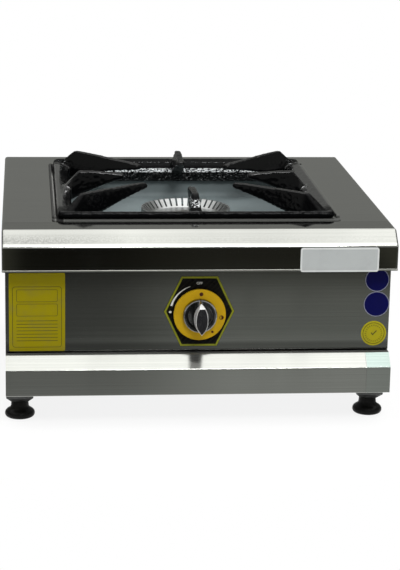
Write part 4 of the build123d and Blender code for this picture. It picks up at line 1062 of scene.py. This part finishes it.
@dataclass
class Dial:
    """Marks on the six-sided plate behind the knob.

    Attributes:
        flat: length of its upper and lower sides.
        rise: of its middle above the knob's axis.
        border: outer and inner inset of its border.
        scale: radius of the flame scale.
        scale_turn: where the scale starts and ends, in degrees.
        scale_half: half its width at both ends.
        star: where the star stands, off the axis.
        star_radii: of its hollows and its tips.
        word: rise of the word above the axis, and its size.
    """

    front: float = -179.6 * MM
    width: float = 72.6 * MM
    height: float = 74.0 * MM
    flat: float = 37.5 * MM
    rise: float = 1.8 * MM
    border: Spot = (0.25 * MM, 2.2 * MM)
    ink: float = 0.12 * MM
    scale: float = 29.6 * MM
    scale_turn: Spot = (165.0, 109.0)
    scale_half: Spot = (1.05 * MM, 0.20 * MM)
    scale_steps: int = 36
    star: Spot = (-29.6 * MM, 1.2 * MM)
    star_radii: Spot = (0.8 * MM, 1.9 * MM)
    star_ease: float = 0.02 * MM
    word: Spot = (30.3 * MM, 3.6 * MM)

    def _outline(self, inset: float) -> List[Spot]:
        """Corners of the plate, moved in by inset."""
        half_h = self.height / 2 - inset
        slope = math.atan2(self.height / 2, (self.width - self.flat) / 2)
        half_w = self.width / 2 - inset / math.sin(slope)
        half_f = half_w - half_h / math.tan(slope)
        corners = ((half_w, 0), (half_f, half_h), (-half_f, half_h), (-half_w, 0), (-half_f, -half_h),
                   (half_f, -half_h))
        return [off_axis(x, self.rise + z) for x, z in corners]

    def build(self) -> List[Piece]:
        """Make the border, the flame scale with its star, and the word."""
        olive = Vinyl("dial_border", (0.145, 0.152, 0.011), (0.08, 0.08, 0.02), gloss=0.3).make()
        pale = Vinyl("dial_ink", (0.52, 0.52, 0.48), (0.2, 0.2, 0.18), gloss=0.4).make()
        outer, inner = (self._outline(inset) for inset in self.border)
        pieces = [Draft().band(outer, inner, self.front, self.ink).done("dial_border", olive)]
        pieces.append(self._scale(pale))
        pieces.append(self._word(pale))
        for piece in pieces:
            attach(piece, "cabinet")
        return pieces

    def _scale(self, finish: Finish) -> Piece:
        """Wedge-shaped scale that narrows from full to low, and the small star that marks lighting."""
        outer, inner = [], []
        for i in range(self.scale_steps + 1):
            share = i / self.scale_steps
            angle, half = (a + (b - a) * share for a, b in (self.scale_turn, self.scale_half))
            for line, side in ((outer, half), (inner, -half)):
                line.append(around(AXIS, self.scale + side, math.radians(angle)))
        middle = off_axis(*self.star)
        star = [around(middle, self.star_radii[i % 2], math.radians(30 * i)) for i in range(12)]
        draft = Draft().band(outer, inner, self.front, self.ink, closed=False)
        return draft.plate(star, self.front, self.ink, self.star_ease).done("dial_scale", finish)

    def _word(self, finish: Finish) -> Piece:
        """Write OFF above the knob."""
        rise, size = self.word
        letters = bpy.data.curves.new("off_word", "FONT")
        letters.body = "OFF"
        letters.size = size
        letters.align_x = "CENTER"
        letters.extrude = self.ink / 2
        lettered = link("off_draft", letters)
        mesh = final_mesh(lettered)
        bpy.data.objects.remove(lettered)
        place = Vector((AXIS[0], self.front - self.ink / 2, AXIS[1] + rise))
        mesh.transform(Matrix.Translation(place) @ Matrix.Rotation(QUARTER, 4, "X"))
        draft = Draft(mesh)
        bpy.data.meshes.remove(mesh)
        return draft.done("off_word", finish)


@dataclass
class KnobMarks:
    """Small marks printed on the yellow ring, which turn with the knob.

    Attributes:
        face: y of the ring's face.
        dots: place off the axis, radius and steps of each dot.
        moon: place off the axis of the half-filled circle.
        moon_radii: of its filled half, and of its line inside and outside.
    """

    face: float = -187.75 * MM
    ink: float = 0.2 * MM
    ease: float = 0.03 * MM
    dots: Sequence[Tuple[float, float, float, int]] = ((1.2, 21.9, 2.0, 28), (13.2, -17.8, 1.3, 20))
    moon: Spot = (22.2 * MM, -2.7 * MM)
    moon_radii: Point = (1.9 * MM, 1.7 * MM, 2.2 * MM)

    def build(self) -> Piece:
        """Make the marks as one piece."""
        finish = Vinyl("ring_ink", (0.045, 0.012, 0.006), (0.02, 0.01, 0.01), gloss=0.4).make()
        draft = Draft()
        for x, z, radius, steps in self.dots:
            draft.plate(circle(off_axis(*mm(x, z)), radius * MM, steps), self.face, self.ink, self.ease)
        middle = off_axis(*self.moon)
        filled, inside, outside = self.moon_radii
        half = [around(middle, filled, math.radians(angle)) for angle in range(-90, 91, 12)]
        draft.plate(half, self.face, self.ink, self.ease)
        draft.band(circle(middle, outside, 32), circle(middle, inside, 32), self.face, self.ink)
        piece = draft.done("ring_marks", finish)
        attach(piece, "knob")
        return piece


class CapPart(IntEnum):
    """Which of the cap's materials a face has."""

    CHROME = 0
    POINTER = 1
    FLANK_HIGHLIGHT = 2
    RIM = 3


@dataclass
class KnobCap:
    """Chromed knob: dished round base, boat-shaped grip with a white pointer, and painted shade,
    highlights and reflection.

    Attributes:
        back: y of the cap's back.
        depth: from there to the grip's face.
        start: from there to the grip's foot, inside the base.
        foot_half: half the grip's width and height at its foot.
        face_half: the same at its face.
        nose: how far its upper end stands off the axis where the slant starts.
        slant_to: the same at the face.
        slant_share: share of the grip's depth at which the slant starts.
        blunt: share of the grip's length at which its ends are cut off.
        bulge: how full its sides are.
        side_points: points on each side of its outline.
        flank_from: share of the grip's depth from which its sides are a pale silver, a painted highlight.
        rim_from: depth at which the base's rim starts, in millimetres; its brighter chrome is a painted
            highlight.
        crease: angle in degrees from which an edge stays sharp.
        face_reflection_plate: how far the black plate on the grip's face, a painted reflection, is moved
            in and sunk, its thickness and its eased edge.
    """

    back: float = -184.6 * MM
    depth: float = 29.4 * MM
    start: float = 5.0 * MM
    foot_half: Spot = (8.4 * MM, 18.2 * MM)
    face_half: Spot = (6.1 * MM, 14.2 * MM)
    nose: float = 15.8 * MM
    slant_to: float = 13.7 * MM
    slant_share: float = 0.5
    blunt: float = 0.985
    bulge: float = 2.3
    side_points: int = 22
    levels: int = 14
    flank_from: float = 0.45
    rim_from: float = 8.0
    base_steps: int = 96
    crease: float = 32.0
    face_reflection_plate: Tuple[float, ...] = mm(1.0, 0.05, 0.2, 0.1)

    PROFILE = ((0.0, 3.4), (17.5, 3.4), (17.5, 7.4), (17.3, 8.2), (16.9, 8.8), (16.3, 9.0), (15.7, 8.8),
               (15.2, 8.3), (14.4, 7.2), (13.4, 6.4), (12.0, 6.05), (8.0, 6.0), (0.0, 6.0))
    FRONT_EDGE = ((0.985, 0.0), (0.995, 0.15 * MM), (1.0, 0.45 * MM))

    def build(self, chrome: Finish) -> List[Piece]:
        """Make the cap in its darkened chrome with painted highlights, and the black plate on its face, a
        painted reflection.
        """
        draft = Draft()
        self._base(draft)
        self._grip(draft)
        cap = draft.done("knob_cap_chrome", chrome, smooth=True)
        cap.data.set_sharp_from_angle(angle=math.radians(self.crease))
        # Painted highlights: a pale silver on the grip's flanks and a brighter chrome on the base's rim.
        for finish in (Vinyl("pointer_white", (0.72, 0.72, 0.70), (0.5, 0.5, 0.48), gloss=0.3),
                       Chrome("grip_flank_highlight", (0.60, 0.60, 0.60), gloss=0.3, metal=0.35),
                       Chrome("rim_chrome_lit", (0.80, 0.80, 0.80), gloss=0.1)):
            cap.data.materials.append(finish.make())
        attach(cap, "knob")
        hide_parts("knob_cap")
        # Painted reflection: a black plate on the grip's face stands for the dark that its chrome mirrors.
        dark = Moulded("grip_face_reflection_black", (0.010, 0.010, 0.011), gloss=0.24, pebble=1100.0, relief=0.7)
        inset, sunk, thick, ease = self.face_reflection_plate
        plate = Draft().plate(self._outline(1.0, inset), self.back - self.depth + sunk, thick, ease)
        face = plate.done("grip_face", dark.make())
        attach(face, "knob")
        return [cap, face]

    def _base(self, draft: Draft) -> None:
        """Turn the round base."""
        rows = []
        for radius, depth in self.PROFILE:
            line = circle(AXIS, radius * MM, self.base_steps) if radius else [AXIS]
            rows.append(draft.row(upright(line, self.back - depth * MM)))
        # Painted highlight: the rim's faces take the brighter chrome.
        for faces, (_, depth) in zip(draft.join(rows), self.PROFILE):
            for face in faces:
                face.material_index = CapPart.RIM if depth > self.rim_from else CapPart.CHROME

    def _outline(self, share: float, inset: float) -> List[Spot]:
        """Outline of the grip at a share of its depth, moved in by inset.

        Args:
            share: 0 at its foot, 1 at its face.
            inset: how far it is moved in.

        Returns:
            Points round the grip, from its lower end up the right and down the left.
        """
        halves = zip(self.foot_half, self.face_half)
        wide, tall = (low + (high - low) * share - inset for low, high in halves)
        lean = abs(share - self.slant_share) / (1 - self.slant_share)
        head = self.nose + (self.foot_half[1] - self.nose) * lean - inset
        top = head if share < self.slant_share else self.nose + (self.slant_to - self.nose) * lean - inset
        reach = min(self.blunt, top / head)
        right = []
        for i in range(self.side_points):
            at = -self.blunt + (reach + self.blunt) * i / (self.side_points - 1)
            right.append((wide * (1 - abs(at) ** self.bulge), (head if at > 0 else tall) * at))
        return [off_axis(x, z) for x, z in right + [(-x, z) for x, z in reversed(right)]]

    def _grip(self, draft: Draft) -> None:
        """Loft the grip from the base to its face, with a rounded front edge."""
        levels = [(i / self.levels, 0.0) for i in range(self.levels)] + list(self.FRONT_EDGE)
        rows = []
        for share, inset in levels:
            y = self.back - self.start - (self.depth - self.start) * share
            rows.append(draft.row(upright(self._outline(share, inset), y)))
        for faces, (share, _) in zip(draft.loft(rows), levels):
            for face in faces:
                face.material_index = CapPart.FLANK_HIGHLIGHT if share >= self.flank_from else CapPart.CHROME
            if share >= self.slant_share:
                faces[self.side_points - 1].material_index = CapPart.POINTER


@dataclass
class SheetEdges:
    """Rolled hem under the skirt and the butt seam at the base's right end."""

    half_width: float = 199.6 * MM
    seam_x: float = 172.0 * MM
    seam_wide: float = 0.3 * MM
    seam_lift: float = 0.06 * MM

    HEM = ((-199.95, 168.0), (-200.2, 167.7), (-200.3, 167.3), (-199.98, 166.05), (-199.3, 165.9),
           (-199.3, 167.7))
    SEAMS = (((-187.2, 75.2), (-199.4, 64.1)), ((-200.0, 62.6), (-200.0, 37.0)))

    def build(self) -> List[Piece]:
        """Make the hem and the seam."""
        steel = BrushedSheet("hem_steel", tone=(0.40, 0.40, 0.37), gloss=0.3).make()
        weld = BrushedSheet("seam_weld", tone=(0.30, 0.315, 0.30), gloss=0.4).make()
        hem = Draft()
        ends = (-self.half_width, self.half_width)
        hem.loft([hem.row((x, *mm(y, z)) for y, z in self.HEM) for x in ends])
        seam = Draft()
        for (y0, z0), (y1, z1) in self.SEAMS:
            out = Vector((1, 0, 0)).cross(Vector((0, y1 - y0, z1 - z0)).normalized())
            lift = out * (self.seam_lift if out.y < 0 else -self.seam_lift)
            left, right = (self.seam_x + side * self.seam_wide / 2 for side in (-1, 1))
            line = ((left, *mm(y0, z0)), (right, *mm(y0, z0)), (right, *mm(y1, z1)), (left, *mm(y1, z1)))
            seam.loft([seam.row(Vector(spot) + lift * side for spot in line) for side in (-1, 1)])
        pieces = [hem.done("skirt_hem", steel), seam.done("base_seam", weld)]
        for piece in pieces:
            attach(piece, "cabinet")
        return pieces


@dataclass
class Stickers:
    """Bare stickers and the blank badge on the front, their places and sizes in millimetres.

    Attributes:
        panel: y of the control panel, in metres like the four values below it.
        film: thickness of a sticker.
        ink: thickness of its print.
        eased: width of the eased edge of a sticker and of its print.
        upper: middle of the upper blue disc, as lower and lemon are of the other two.
    """

    panel: float = -179.0 * MM
    skirt: float = -200.0 * MM
    film: float = 0.18 * MM
    ink: float = 0.05 * MM
    eased: Spot = (0.06 * MM, 0.01 * MM)
    upper: Spot = (183.1, 151.1)
    lower: Spot = (183.4, 125.3)
    lemon: Spot = (181.6, 94.0)
    label_x: float = -165.0
    badge: Spot = (139.8, 177.8)

    TICK = ((-2.9, 0.3), (-0.9, -2.2), (3.4, 2.6), (2.6, 3.2), (-0.9, -0.7), (-2.2, 1.0))
    STROKE = ((-0.9, -0.3), (0.9, -0.3), (0.9, 0.3), (-0.9, 0.3))
    FRAMES = ((114.0, (50.0, 64.0), 3.0, 0.5), (136.4, (41.6, 13.0), 1.6, 0.4),
              (121.4, (41.6, 13.0), 1.6, 0.4))
    BADGE = (((80.3, 25.2), 2.6), ((79.9, 24.8), 2.4), ((76.9, 21.8), 1.2))

    def build(self) -> List[Piece]:
        """Make the stickers and the badge."""
        yellow = Vinyl("label_print", (0.195, 0.163, 0.0012)).make()
        dark = Vinyl("label_line", (0.030, 0.028, 0.010), gloss=0.4).make()
        blue = Vinyl("disc_blue", (0.0022, 0.0026, 0.045), (0.004, 0.004, 0.03)).make()
        pale = Vinyl("disc_rim", (0.16, 0.165, 0.21), (0.08, 0.08, 0.11)).make()
        lemon = Vinyl("disc_yellow", (0.265, 0.232, 0.006)).make()
        pieces = [
            self._sticker("label", self._box((self.label_x, 119.1), (56.8, 82.2), 1.6), yellow),
            self._lines("label_line", [self._frame(*sizes) for sizes in self.FRAMES], dark),
            self._sticker("blue_disc_upper", self._ring(self.upper, 12.5), blue),
            self._sticker("blue_disc_lower", self._ring(self.lower, 13.4), blue),
            self._sticker("yellow_disc", self._ring(self.lemon, 13.2), lemon),
            self._lines("disc_rims", [self._rim(self.upper, 12.4, 0.7),
                                      self._rim(self.lower, 13.3, 0.7)], pale),
            self._lines("disc_rings", [self._rim(self.lemon, 11.4, 0.6)], dark),
            self._strokes(dark), self._tick(dark), self._rules(dark), *self._badge(),
        ]
        for piece in pieces:
            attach(piece, "cabinet")
        return pieces

    @staticmethod
    def _box(middle: Spot, size: Spot, radius: float, steps: int = 8) -> List[Spot]:
        """Outline of a rectangle with round corners."""
        return rounded(mm(*middle), mm(*size), radius * MM, steps)

    @staticmethod
    def _ring(middle: Spot, radius: float) -> List[Spot]:
        """Outline of a disc."""
        return circle(mm(*middle), radius * MM)

    def _rim(self, middle: Spot, radius: float, line: float) -> Tuple[Outline, Outline]:
        """Outer and inner outline of a circle on a disc, with the width of its line."""
        return self._ring(middle, radius), self._ring(middle, radius - line)

    def _frame(self, height: float, size: Spot, radius: float, line: float) -> Tuple[Outline, Outline]:
        """Outer and inner outline of an empty frame on the label, with the width of its line."""
        middle = (self.label_x, height)
        inner = (size[0] - 2 * line, size[1] - 2 * line)
        return self._box(middle, size, radius), self._box(middle, inner, radius - line)

    def _sticker(self, name: str, outline: Outline, finish: Finish) -> Piece:
        """Flat sticker on the panel."""
        return Draft().plate(outline, self.panel, self.film, self.eased[0]).done(name, finish)

    def _lines(self, name: str, pairs: Sequence[Tuple[Outline, Outline]], finish: Finish) -> Piece:
        """Closed lines printed on stickers, each from an outer and an inner outline."""
        draft = Draft()
        for outer, inner in pairs:
            draft.band(outer, inner, self.panel - self.film, self.ink)
        return draft.done(name, finish)

    def _printed(self, x: float, z: float) -> Point:
        """A place on a sticker's face."""
        return x * MM, self.panel - self.film, z * MM

    def _strokes(self, finish: Finish) -> Piece:
        """Ring of short strokes on the yellow disc."""
        stroke = Draft().plate([mm(*spot) for spot in self.STROKE], 0.0, self.ink, self.eased[1])
        return EvenRing().apply(stroke.done("disc_strokes", finish), Count=24, Radius=8.5 * MM,
                                Middle=self._printed(*self.lemon), Finish=finish)

    def _tick(self, finish: Finish) -> Piece:
        """Tick mark in the yellow disc's middle."""
        mark = [mm(self.lemon[0] + x, self.lemon[1] + z) for x, z in self.TICK]
        tick = Draft().plate(mark, self.panel - self.film, self.ink, self.eased[1])
        return tick.done("disc_tick", finish)

    def _rules(self, finish: Finish) -> Piece:
        """Blank ruled lines on the label's lower half."""
        line = self._box((0.0, 0.0), (42.0, 0.55), 0.2, 3)
        rule = Draft().plate(line, 0.0, self.ink, self.eased[1])
        middle = self._printed(self.label_x, 99.5)
        return EvenRows().apply(rule.done("label_rules", finish), Columns=1, Rows=7, Column_Pitch=1 * MM,
                                Row_Pitch=3.5 * MM, Middle=middle, Finish=finish)

    def _badge(self) -> List[Piece]:
        """Blank silver badge on the skirt and its paler raised edge."""
        silver = Vinyl("badge_silver", (0.30, 0.315, 0.31), (0.22, 0.23, 0.23), gloss=0.3).make()
        paler = Vinyl("badge_border", (0.45, 0.46, 0.45), (0.30, 0.31, 0.30), gloss=0.25).make()
        plate, outer, inner = (self._box(self.badge, *sizes) for sizes in self.BADGE)
        return [Draft().plate(plate, self.skirt, 0.8 * MM, 0.3 * MM).done("badge", silver),
                Draft().band(outer, inner, self.skirt - 0.75 * MM, 0.2 * MM).done("badge_border", paler)]


@dataclass
class BackFittings:
    """What shows on the back: vent lips, crossed screw heads and the inlet's thread.

    Attributes:
        back: y of the rear panel.
        vent: width and height of a vent.
        vents_x: middle of the vents.
        pitch: from vent to vent, across and up.
        lip: width of a vent's lip, and its thickness.
        head: width of a screw's head.
        cross: length and half width of the recess's arms.
        sunk: depth of the recess's mark, and its eased edge.
        inlet: where the thread starts, in x and y.
    """

    back: float = 198.5 * MM
    vent: Spot = (60.0 * MM, 6.0 * MM)
    vents_x: float = -60.0 * MM
    pitch: Spot = (78.0 * MM, 18.0 * MM)
    lip: Spot = (1.1 * MM, 0.5 * MM)
    head: float = 5.0 * MM
    cross: Spot = (1.7 * MM, 0.42 * MM)
    sunk: Spot = (0.1 * MM, 0.01 * MM)
    inlet: Spot = (120.0 * MM, 206.0 * MM)

    def build(self) -> List[Piece]:
        """Make the pieces."""
        rows = EvenRows()
        steel = BrushedSheet("vent_lip_steel", gloss=0.25).make()
        # Painted shade: flat black crosses stand for the shade in the screws' recesses.
        recess = Moulded("screw_recess_shade", (0.02, 0.02, 0.02), gloss=0.5).make()
        brass = CastMetal("thread_brass", (0.68, 0.52, 0.24), (0.36, 0.26, 0.11), gloss=0.26, relief=0.1)
        pieces = [
            self._lips(rows, steel),
            self._crosses(rows, "rear_screw_crosses", "rear_screws", recess, 2, 2),
            self._crosses(rows, "plate_screw_crosses", "plate_screws", recess, 3, 1),
            Thread().wind("inlet_thread", Turns=4.2, Radius=10.3 * MM, Length=7.6 * MM, Sides=4,
                          Ridge=0.45 * MM, Start=(*self.inlet, AXIS[1]), Finish=brass.make()),
        ]
        for piece, slot in zip(pieces, ("stainless_sheet", "zinc_steel", "zinc_steel", "brass")):
            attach(piece, "cabinet")
        return pieces

    def _lips(self, rows: EvenRows, finish: Finish) -> Piece:
        """Pressed lips round the air vents."""
        wide, tall = self.vent
        lip, thick = self.lip
        outer = rounded((0, 0), (wide + 2 * lip, tall + 2 * lip), tall / 2 + lip)
        inner = rounded((0, 0), self.vent, tall / 2)
        piece = Draft().band(outer, inner, thick, thick).done("vent_lips", finish)
        return rows.apply(piece, Columns=2, Rows=5, Column_Pitch=self.pitch[0], Row_Pitch=self.pitch[1],
                          Middle=(self.vents_x, self.back, AXIS[1]), Finish=finish)

    def _crosses(self, rows: EvenRows, name: str, node: str, finish: Finish, columns: int,
                 lines: int) -> Piece:
        """Black crosses standing on a node's screw heads, painted shade for their recesses.

        Args:
            rows: the tree that repeats them.
            name: the piece's name.
            node: the CAD node with the screws.
            finish: the recess's material.
            columns: screws in a row.
            lines: rows.

        Returns:
            The piece.
        """
        low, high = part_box(node)
        arm, half = self.cross
        points = [(half, half), (half, arm), (-half, arm), (-half, half), (-arm, half), (-arm, -half),
                  (-half, -half), (-half, -arm), (half, -arm), (half, -half), (arm, -half), (arm, half)]
        deep, ease = self.sunk
        piece = Draft().plate(points, deep, deep, ease).done(name, finish)
        wide = (high.x - low.x) - self.head
        tall = (high.z - low.z) - self.head
        return rows.apply(piece, Columns=columns, Rows=lines, Column_Pitch=wide / max(columns - 1, 1),
                          Row_Pitch=tall / max(lines - 1, 1),
                          Middle=(0.0, high.y, (low.z + high.z) / 2), Finish=finish)


@dataclass
class TapSpring:
    """Spring round the tap's spindle, which rides with the knob as one rigid piece."""

    wire: float = 0.4 * MM
    turns: float = 5.0
    sides: int = 12

    def build(self, finish: Finish) -> Piece:
        """Wind the spring between the spindle's ring and the tap, in its steel."""
        low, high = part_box("spindle_spring")
        middle = (low + high) / 2
        long = high.y - low.y
        piece = Thread().wind("tap_spring", Turns=self.turns, Radius=(high.z - low.z) / 2 - self.wire,
                              Length=long - 2 * self.wire, Ridge=self.wire, Sides=self.sides,
                              Start=(middle.x, low.y + self.wire, middle.z), Finish=finish)
        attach(piece, "knob")
        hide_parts("spindle_spring")
        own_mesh(piece)
        return piece


# Studio


@dataclass
class Studio:
    """Pale floor, soft lamps and the dark room that the steel reflects.

    Attributes:
        room: radius of the room's walls.
        wall: height of their foot and of the ceiling.
        wall_steps: flat pieces in the round wall.
        flag: inner and outer half side of the dark cloth on the floor.
        flag_lift: its height.
    """

    floor_half: float = 6.0
    room: float = 2.3
    wall: Spot = (0.005, 2.2)
    wall_steps: int = 48
    flag: Spot = (0.215, 2.2)
    flag_lift: float = 0.004

    CLOTH = ((0.00, (0.36, 0.37, 0.355)), (0.130, (0.33, 0.34, 0.325)), (0.150, (0.155, 0.164, 0.153)),
             (0.275, (0.178, 0.184, 0.171)), (0.345, (0.054, 0.056, 0.048)),
             (0.375, (0.024, 0.0235, 0.018)), (0.45, (0.021, 0.0205, 0.016)), (1.00, (0.02, 0.02, 0.018)))

    def build(self) -> None:
        """Set up the floor, the flags, the lamps and the world."""
        self._world()
        self._floor()
        self._floor_flag()
        self._wall_flag()
        self._ceiling_flag()
        self._lamp("overhead", (0.0, -0.1, 2.3), (0.0, 0.0, 0.2), 3.0, 62.0)
        self._lamp("front_fill", (0.3, -3.0, 1.7), (0.0, -0.1, 0.12), 2.0, 17.0)
        self._lamp("front_box", (0.25, -2.1, 2.1), (0.0, 0.05, 0.2), 0.7, 42.0, shown=True)

    def _world(self) -> None:
        """Even soft light all round, white where something shows it."""
        world = bpy.data.worlds.new("studio")
        bpy.context.scene.world = world
        world.use_nodes = True
        b = Board(world.node_tree)
        level = self._seen(b) * 0.65 + 0.35
        light = b.node("ShaderNodeBackground", {"Color": (1.0, 1.0, 1.0), "Strength": level})
        b.node("ShaderNodeOutputWorld", {"Surface": light})

    @staticmethod
    def _seen(b: Board) -> Wire:
        """One for rays from the camera, a mirror or glass."""
        path = b.node("ShaderNodeLightPath").socket.node.outputs
        rays = [Wire(b, path[f"Is {kind} Ray"]) for kind in ("Camera", "Glossy", "Transmission")]
        return rays[0].most(rays[1]).most(rays[2])

    @staticmethod
    def _square(half: float, height: float) -> List[Point]:
        """Corners of a level square round the stove."""
        return [(x * half, y * half, height) for x, y in ((-1, -1), (1, -1), (1, 1), (-1, 1))]

    @staticmethod
    def _sheet(name: str, corners: Sequence[Point], faces: Faces, finish: Finish) -> Piece:
        """A stage piece from corners and faces."""
        mesh = bpy.data.meshes.new(name)
        mesh.from_pydata(corners, [], faces)
        mesh.materials.append(finish)
        piece = link(name, mesh)
        return piece

    def _flag(self, b: Bench, level: Wire, corners: Sequence[Point], faces: Faces) -> None:
        """A glowing stage piece that is hidden from everything but reflections."""
        finish = b.close(b.glow(level))
        piece = self._sheet(finish.name, corners, faces, finish)
        for rays in ("camera", "diffuse", "transmission", "volume_scatter", "shadow"):
            setattr(piece, "visible_" + rays, False)

    def _floor(self) -> None:
        """Pale floor that fades to white away from the stove."""
        b = Bench("floor_pale")
        x, y, _ = b.axes()
        away = (x * x + y * y) ** 0.5
        colour = b.blend(b.cloud(30.0, 4.0), (0.83, 0.83, 0.83), (0.87, 0.87, 0.87))
        matt = b.node("ShaderNodeBsdfDiffuse", {"Color": colour})
        share = self._seen(b) * away.ramp(0.22, 0.40, 0.84, 1.0)
        b.close(b.node("ShaderNodeMixShader", {0: share, 1: matt, 2: b.glow((1.0, 1.0, 1.0))}))
        self._sheet("floor", self._square(self.floor_half, 0), [(0, 1, 2, 3)], b.material)

    def _floor_flag(self) -> None:
        """Dark cloth on the floor round the stove."""
        b = Bench("flag_floor")
        x, y, _ = b.axes()
        away = abs(x).most(abs(y))
        level = b.node("ShaderNodeValToRGB", {0: (away - 0.22) / 1.6}, stops=self.CLOTH)
        shade = x.ramp(-0.09, 0.07, 0.60, 0.0) * away.ramp(0.42, 0.46, 0.7, 1.0)
        level = b.blend(shade, level, (0.0, 0.0, 0.0))
        ends = x.ramp(-0.175, -0.215).most(x.ramp(0.30, 0.345))
        level = b.blend(ends * away.ramp(0.70, 0.76) * y.ramp(-0.3, -0.4), level, (0.052, 0.052, 0.040))
        behind = b.blend(away.ramp(0.25, 0.9), (0.30, 0.305, 0.29), (0.17, 0.173, 0.163))
        level = b.blend(y.ramp(-0.32, -0.24), level, behind)
        inner, outer = (self._square(half, self.flag_lift) for half in self.flag)
        self._flag(b, level, inner + outer, [(0, 4, 5, 1), (1, 5, 6, 2), (2, 6, 7, 3), (3, 7, 4, 0)])

    def _wall_flag(self) -> None:
        """Dim walls of the room, dark in front with two bright windows."""
        b = Bench("flag_wall")
        x, y, z = b.axes()
        front = b.blend(z.ramp(1.25, 0.95), (0.08, 0.08, 0.076), (0.30, 0.30, 0.29))
        level = b.blend(y.ramp(-0.4, 0.6), front, (0.222, 0.225, 0.214))
        window = abs(x).band((1.50, 1.56), (2.02, 1.96)) * y.ramp(0.0, -0.3) * z.ramp(0.35, 0.45)
        level = b.blend(window, level, (1.1, 1.1, 1.08))
        plan = circle((0.0, 0.0), self.room, self.wall_steps)
        corners = [(*spot, height) for spot in plan for height in self.wall]
        count = len(corners)
        faces = [(i, i + 1, (i + 3) % count, (i + 2) % count) for i in range(0, count, 2)]
        self._flag(b, level, corners, faces)

    def _ceiling_flag(self) -> None:
        """Bright ceiling with uneven patches."""
        b = Bench("flag_ceiling")
        patch = b.cloud(0.9, 3.0, 0.55, b.place((3.0, 1.0, 1.0), (0.6, 0.2, 0.0)))
        x, y, _ = b.axes()
        level = b.blend(patch.ramp(0.35, 0.68), (1.45, 1.45, 1.43), (2.05, 2.05, 2.02))
        level = b.blend(x.ramp(-0.35, 0.30, 0.15, 0.0), level, (1.0, 1.0, 0.97))
        level = b.blend(y.ramp(-0.42, -0.56, 0.0, 0.35), level, (2.4, 2.42, 2.38))
        self._flag(b, level, self._square(self.room, self.wall[1]), [(0, 3, 2, 1)])

    @staticmethod
    def _lamp(name: str, place: Sequence[float], aim: Sequence[float], size: float, power: float,
              shown: bool = False) -> None:
        """Square soft lamp.

        Args:
            name: its name.
            place: where it hangs.
            aim: what it points at.
            size: its side.
            power: in watts.
            shown: whether glossy surfaces show it.
        """
        light = bpy.data.lights.new(name, "AREA")
        light.shape = "SQUARE"
        light.size = size
        light.energy = power
        lamp = link(name, light)
        lamp.location = place
        lamp.rotation_euler = (Vector(aim) - Vector(place)).to_track_quat("-Z", "Y").to_euler()
        lamp.visible_glossy = shown


@dataclass
class PhotoCamera:
    """Camera at the photograph's viewing angle, which is in degrees."""

    place: Point = (-0.17602, -2.00975, 0.63465)
    yaw: float = 5.5047
    pitch: float = 14.8605
    roll: float = 1.0816
    lens: float = 168.216

    def build(self) -> None:
        """Make the camera and put it in charge."""
        yaw, pitch, roll = (math.radians(v) for v in (self.yaw, self.pitch, self.roll))
        level = math.cos(pitch)
        ahead = Vector((math.sin(yaw) * level, math.cos(yaw) * level, -math.sin(pitch)))
        right = Vector((math.cos(yaw), -math.sin(yaw), 0.0))
        above = right.cross(ahead)
        side = right * math.cos(roll) + above * math.sin(roll)
        head = above * math.cos(roll) - right * math.sin(roll)
        lens = bpy.data.cameras.new("photo_camera")
        lens.sensor_fit = "HORIZONTAL"
        lens.sensor_width = 36.0
        lens.lens = self.lens
        camera = link("photo_camera", lens)
        turn = Matrix((side, head, -ahead)).transposed()
        camera.matrix_world = Matrix.Translation(self.place) @ turn.to_4x4()
        bpy.context.scene.camera = camera


def main() -> None:
    """Build the studio and the stove's pieces in order."""
    logging.basicConfig(level=logging.INFO, format="%(message)s")
    bpy.context.scene.view_settings.view_transform = "Standard"
    PhotoCamera().build()
    Studio().build()
    dresser = Dresser()
    dresser.dress()
    made = [Grate().build(dresser.by_slot["black_enamel"])]
    made += Dial().build() + [KnobMarks().build()] + KnobCap().build(dresser.by_slot["knob_chrome"])
    made += SheetEdges().build() + Stickers().build() + BackFittings().build()
    made.append(TapSpring().build(dresser.by_slot["zinc_steel"]))
    for piece in made:
        log.info("made %s with %d faces", piece.name, len(piece.data.polygons))


if __name__ == "__main__":
    main()
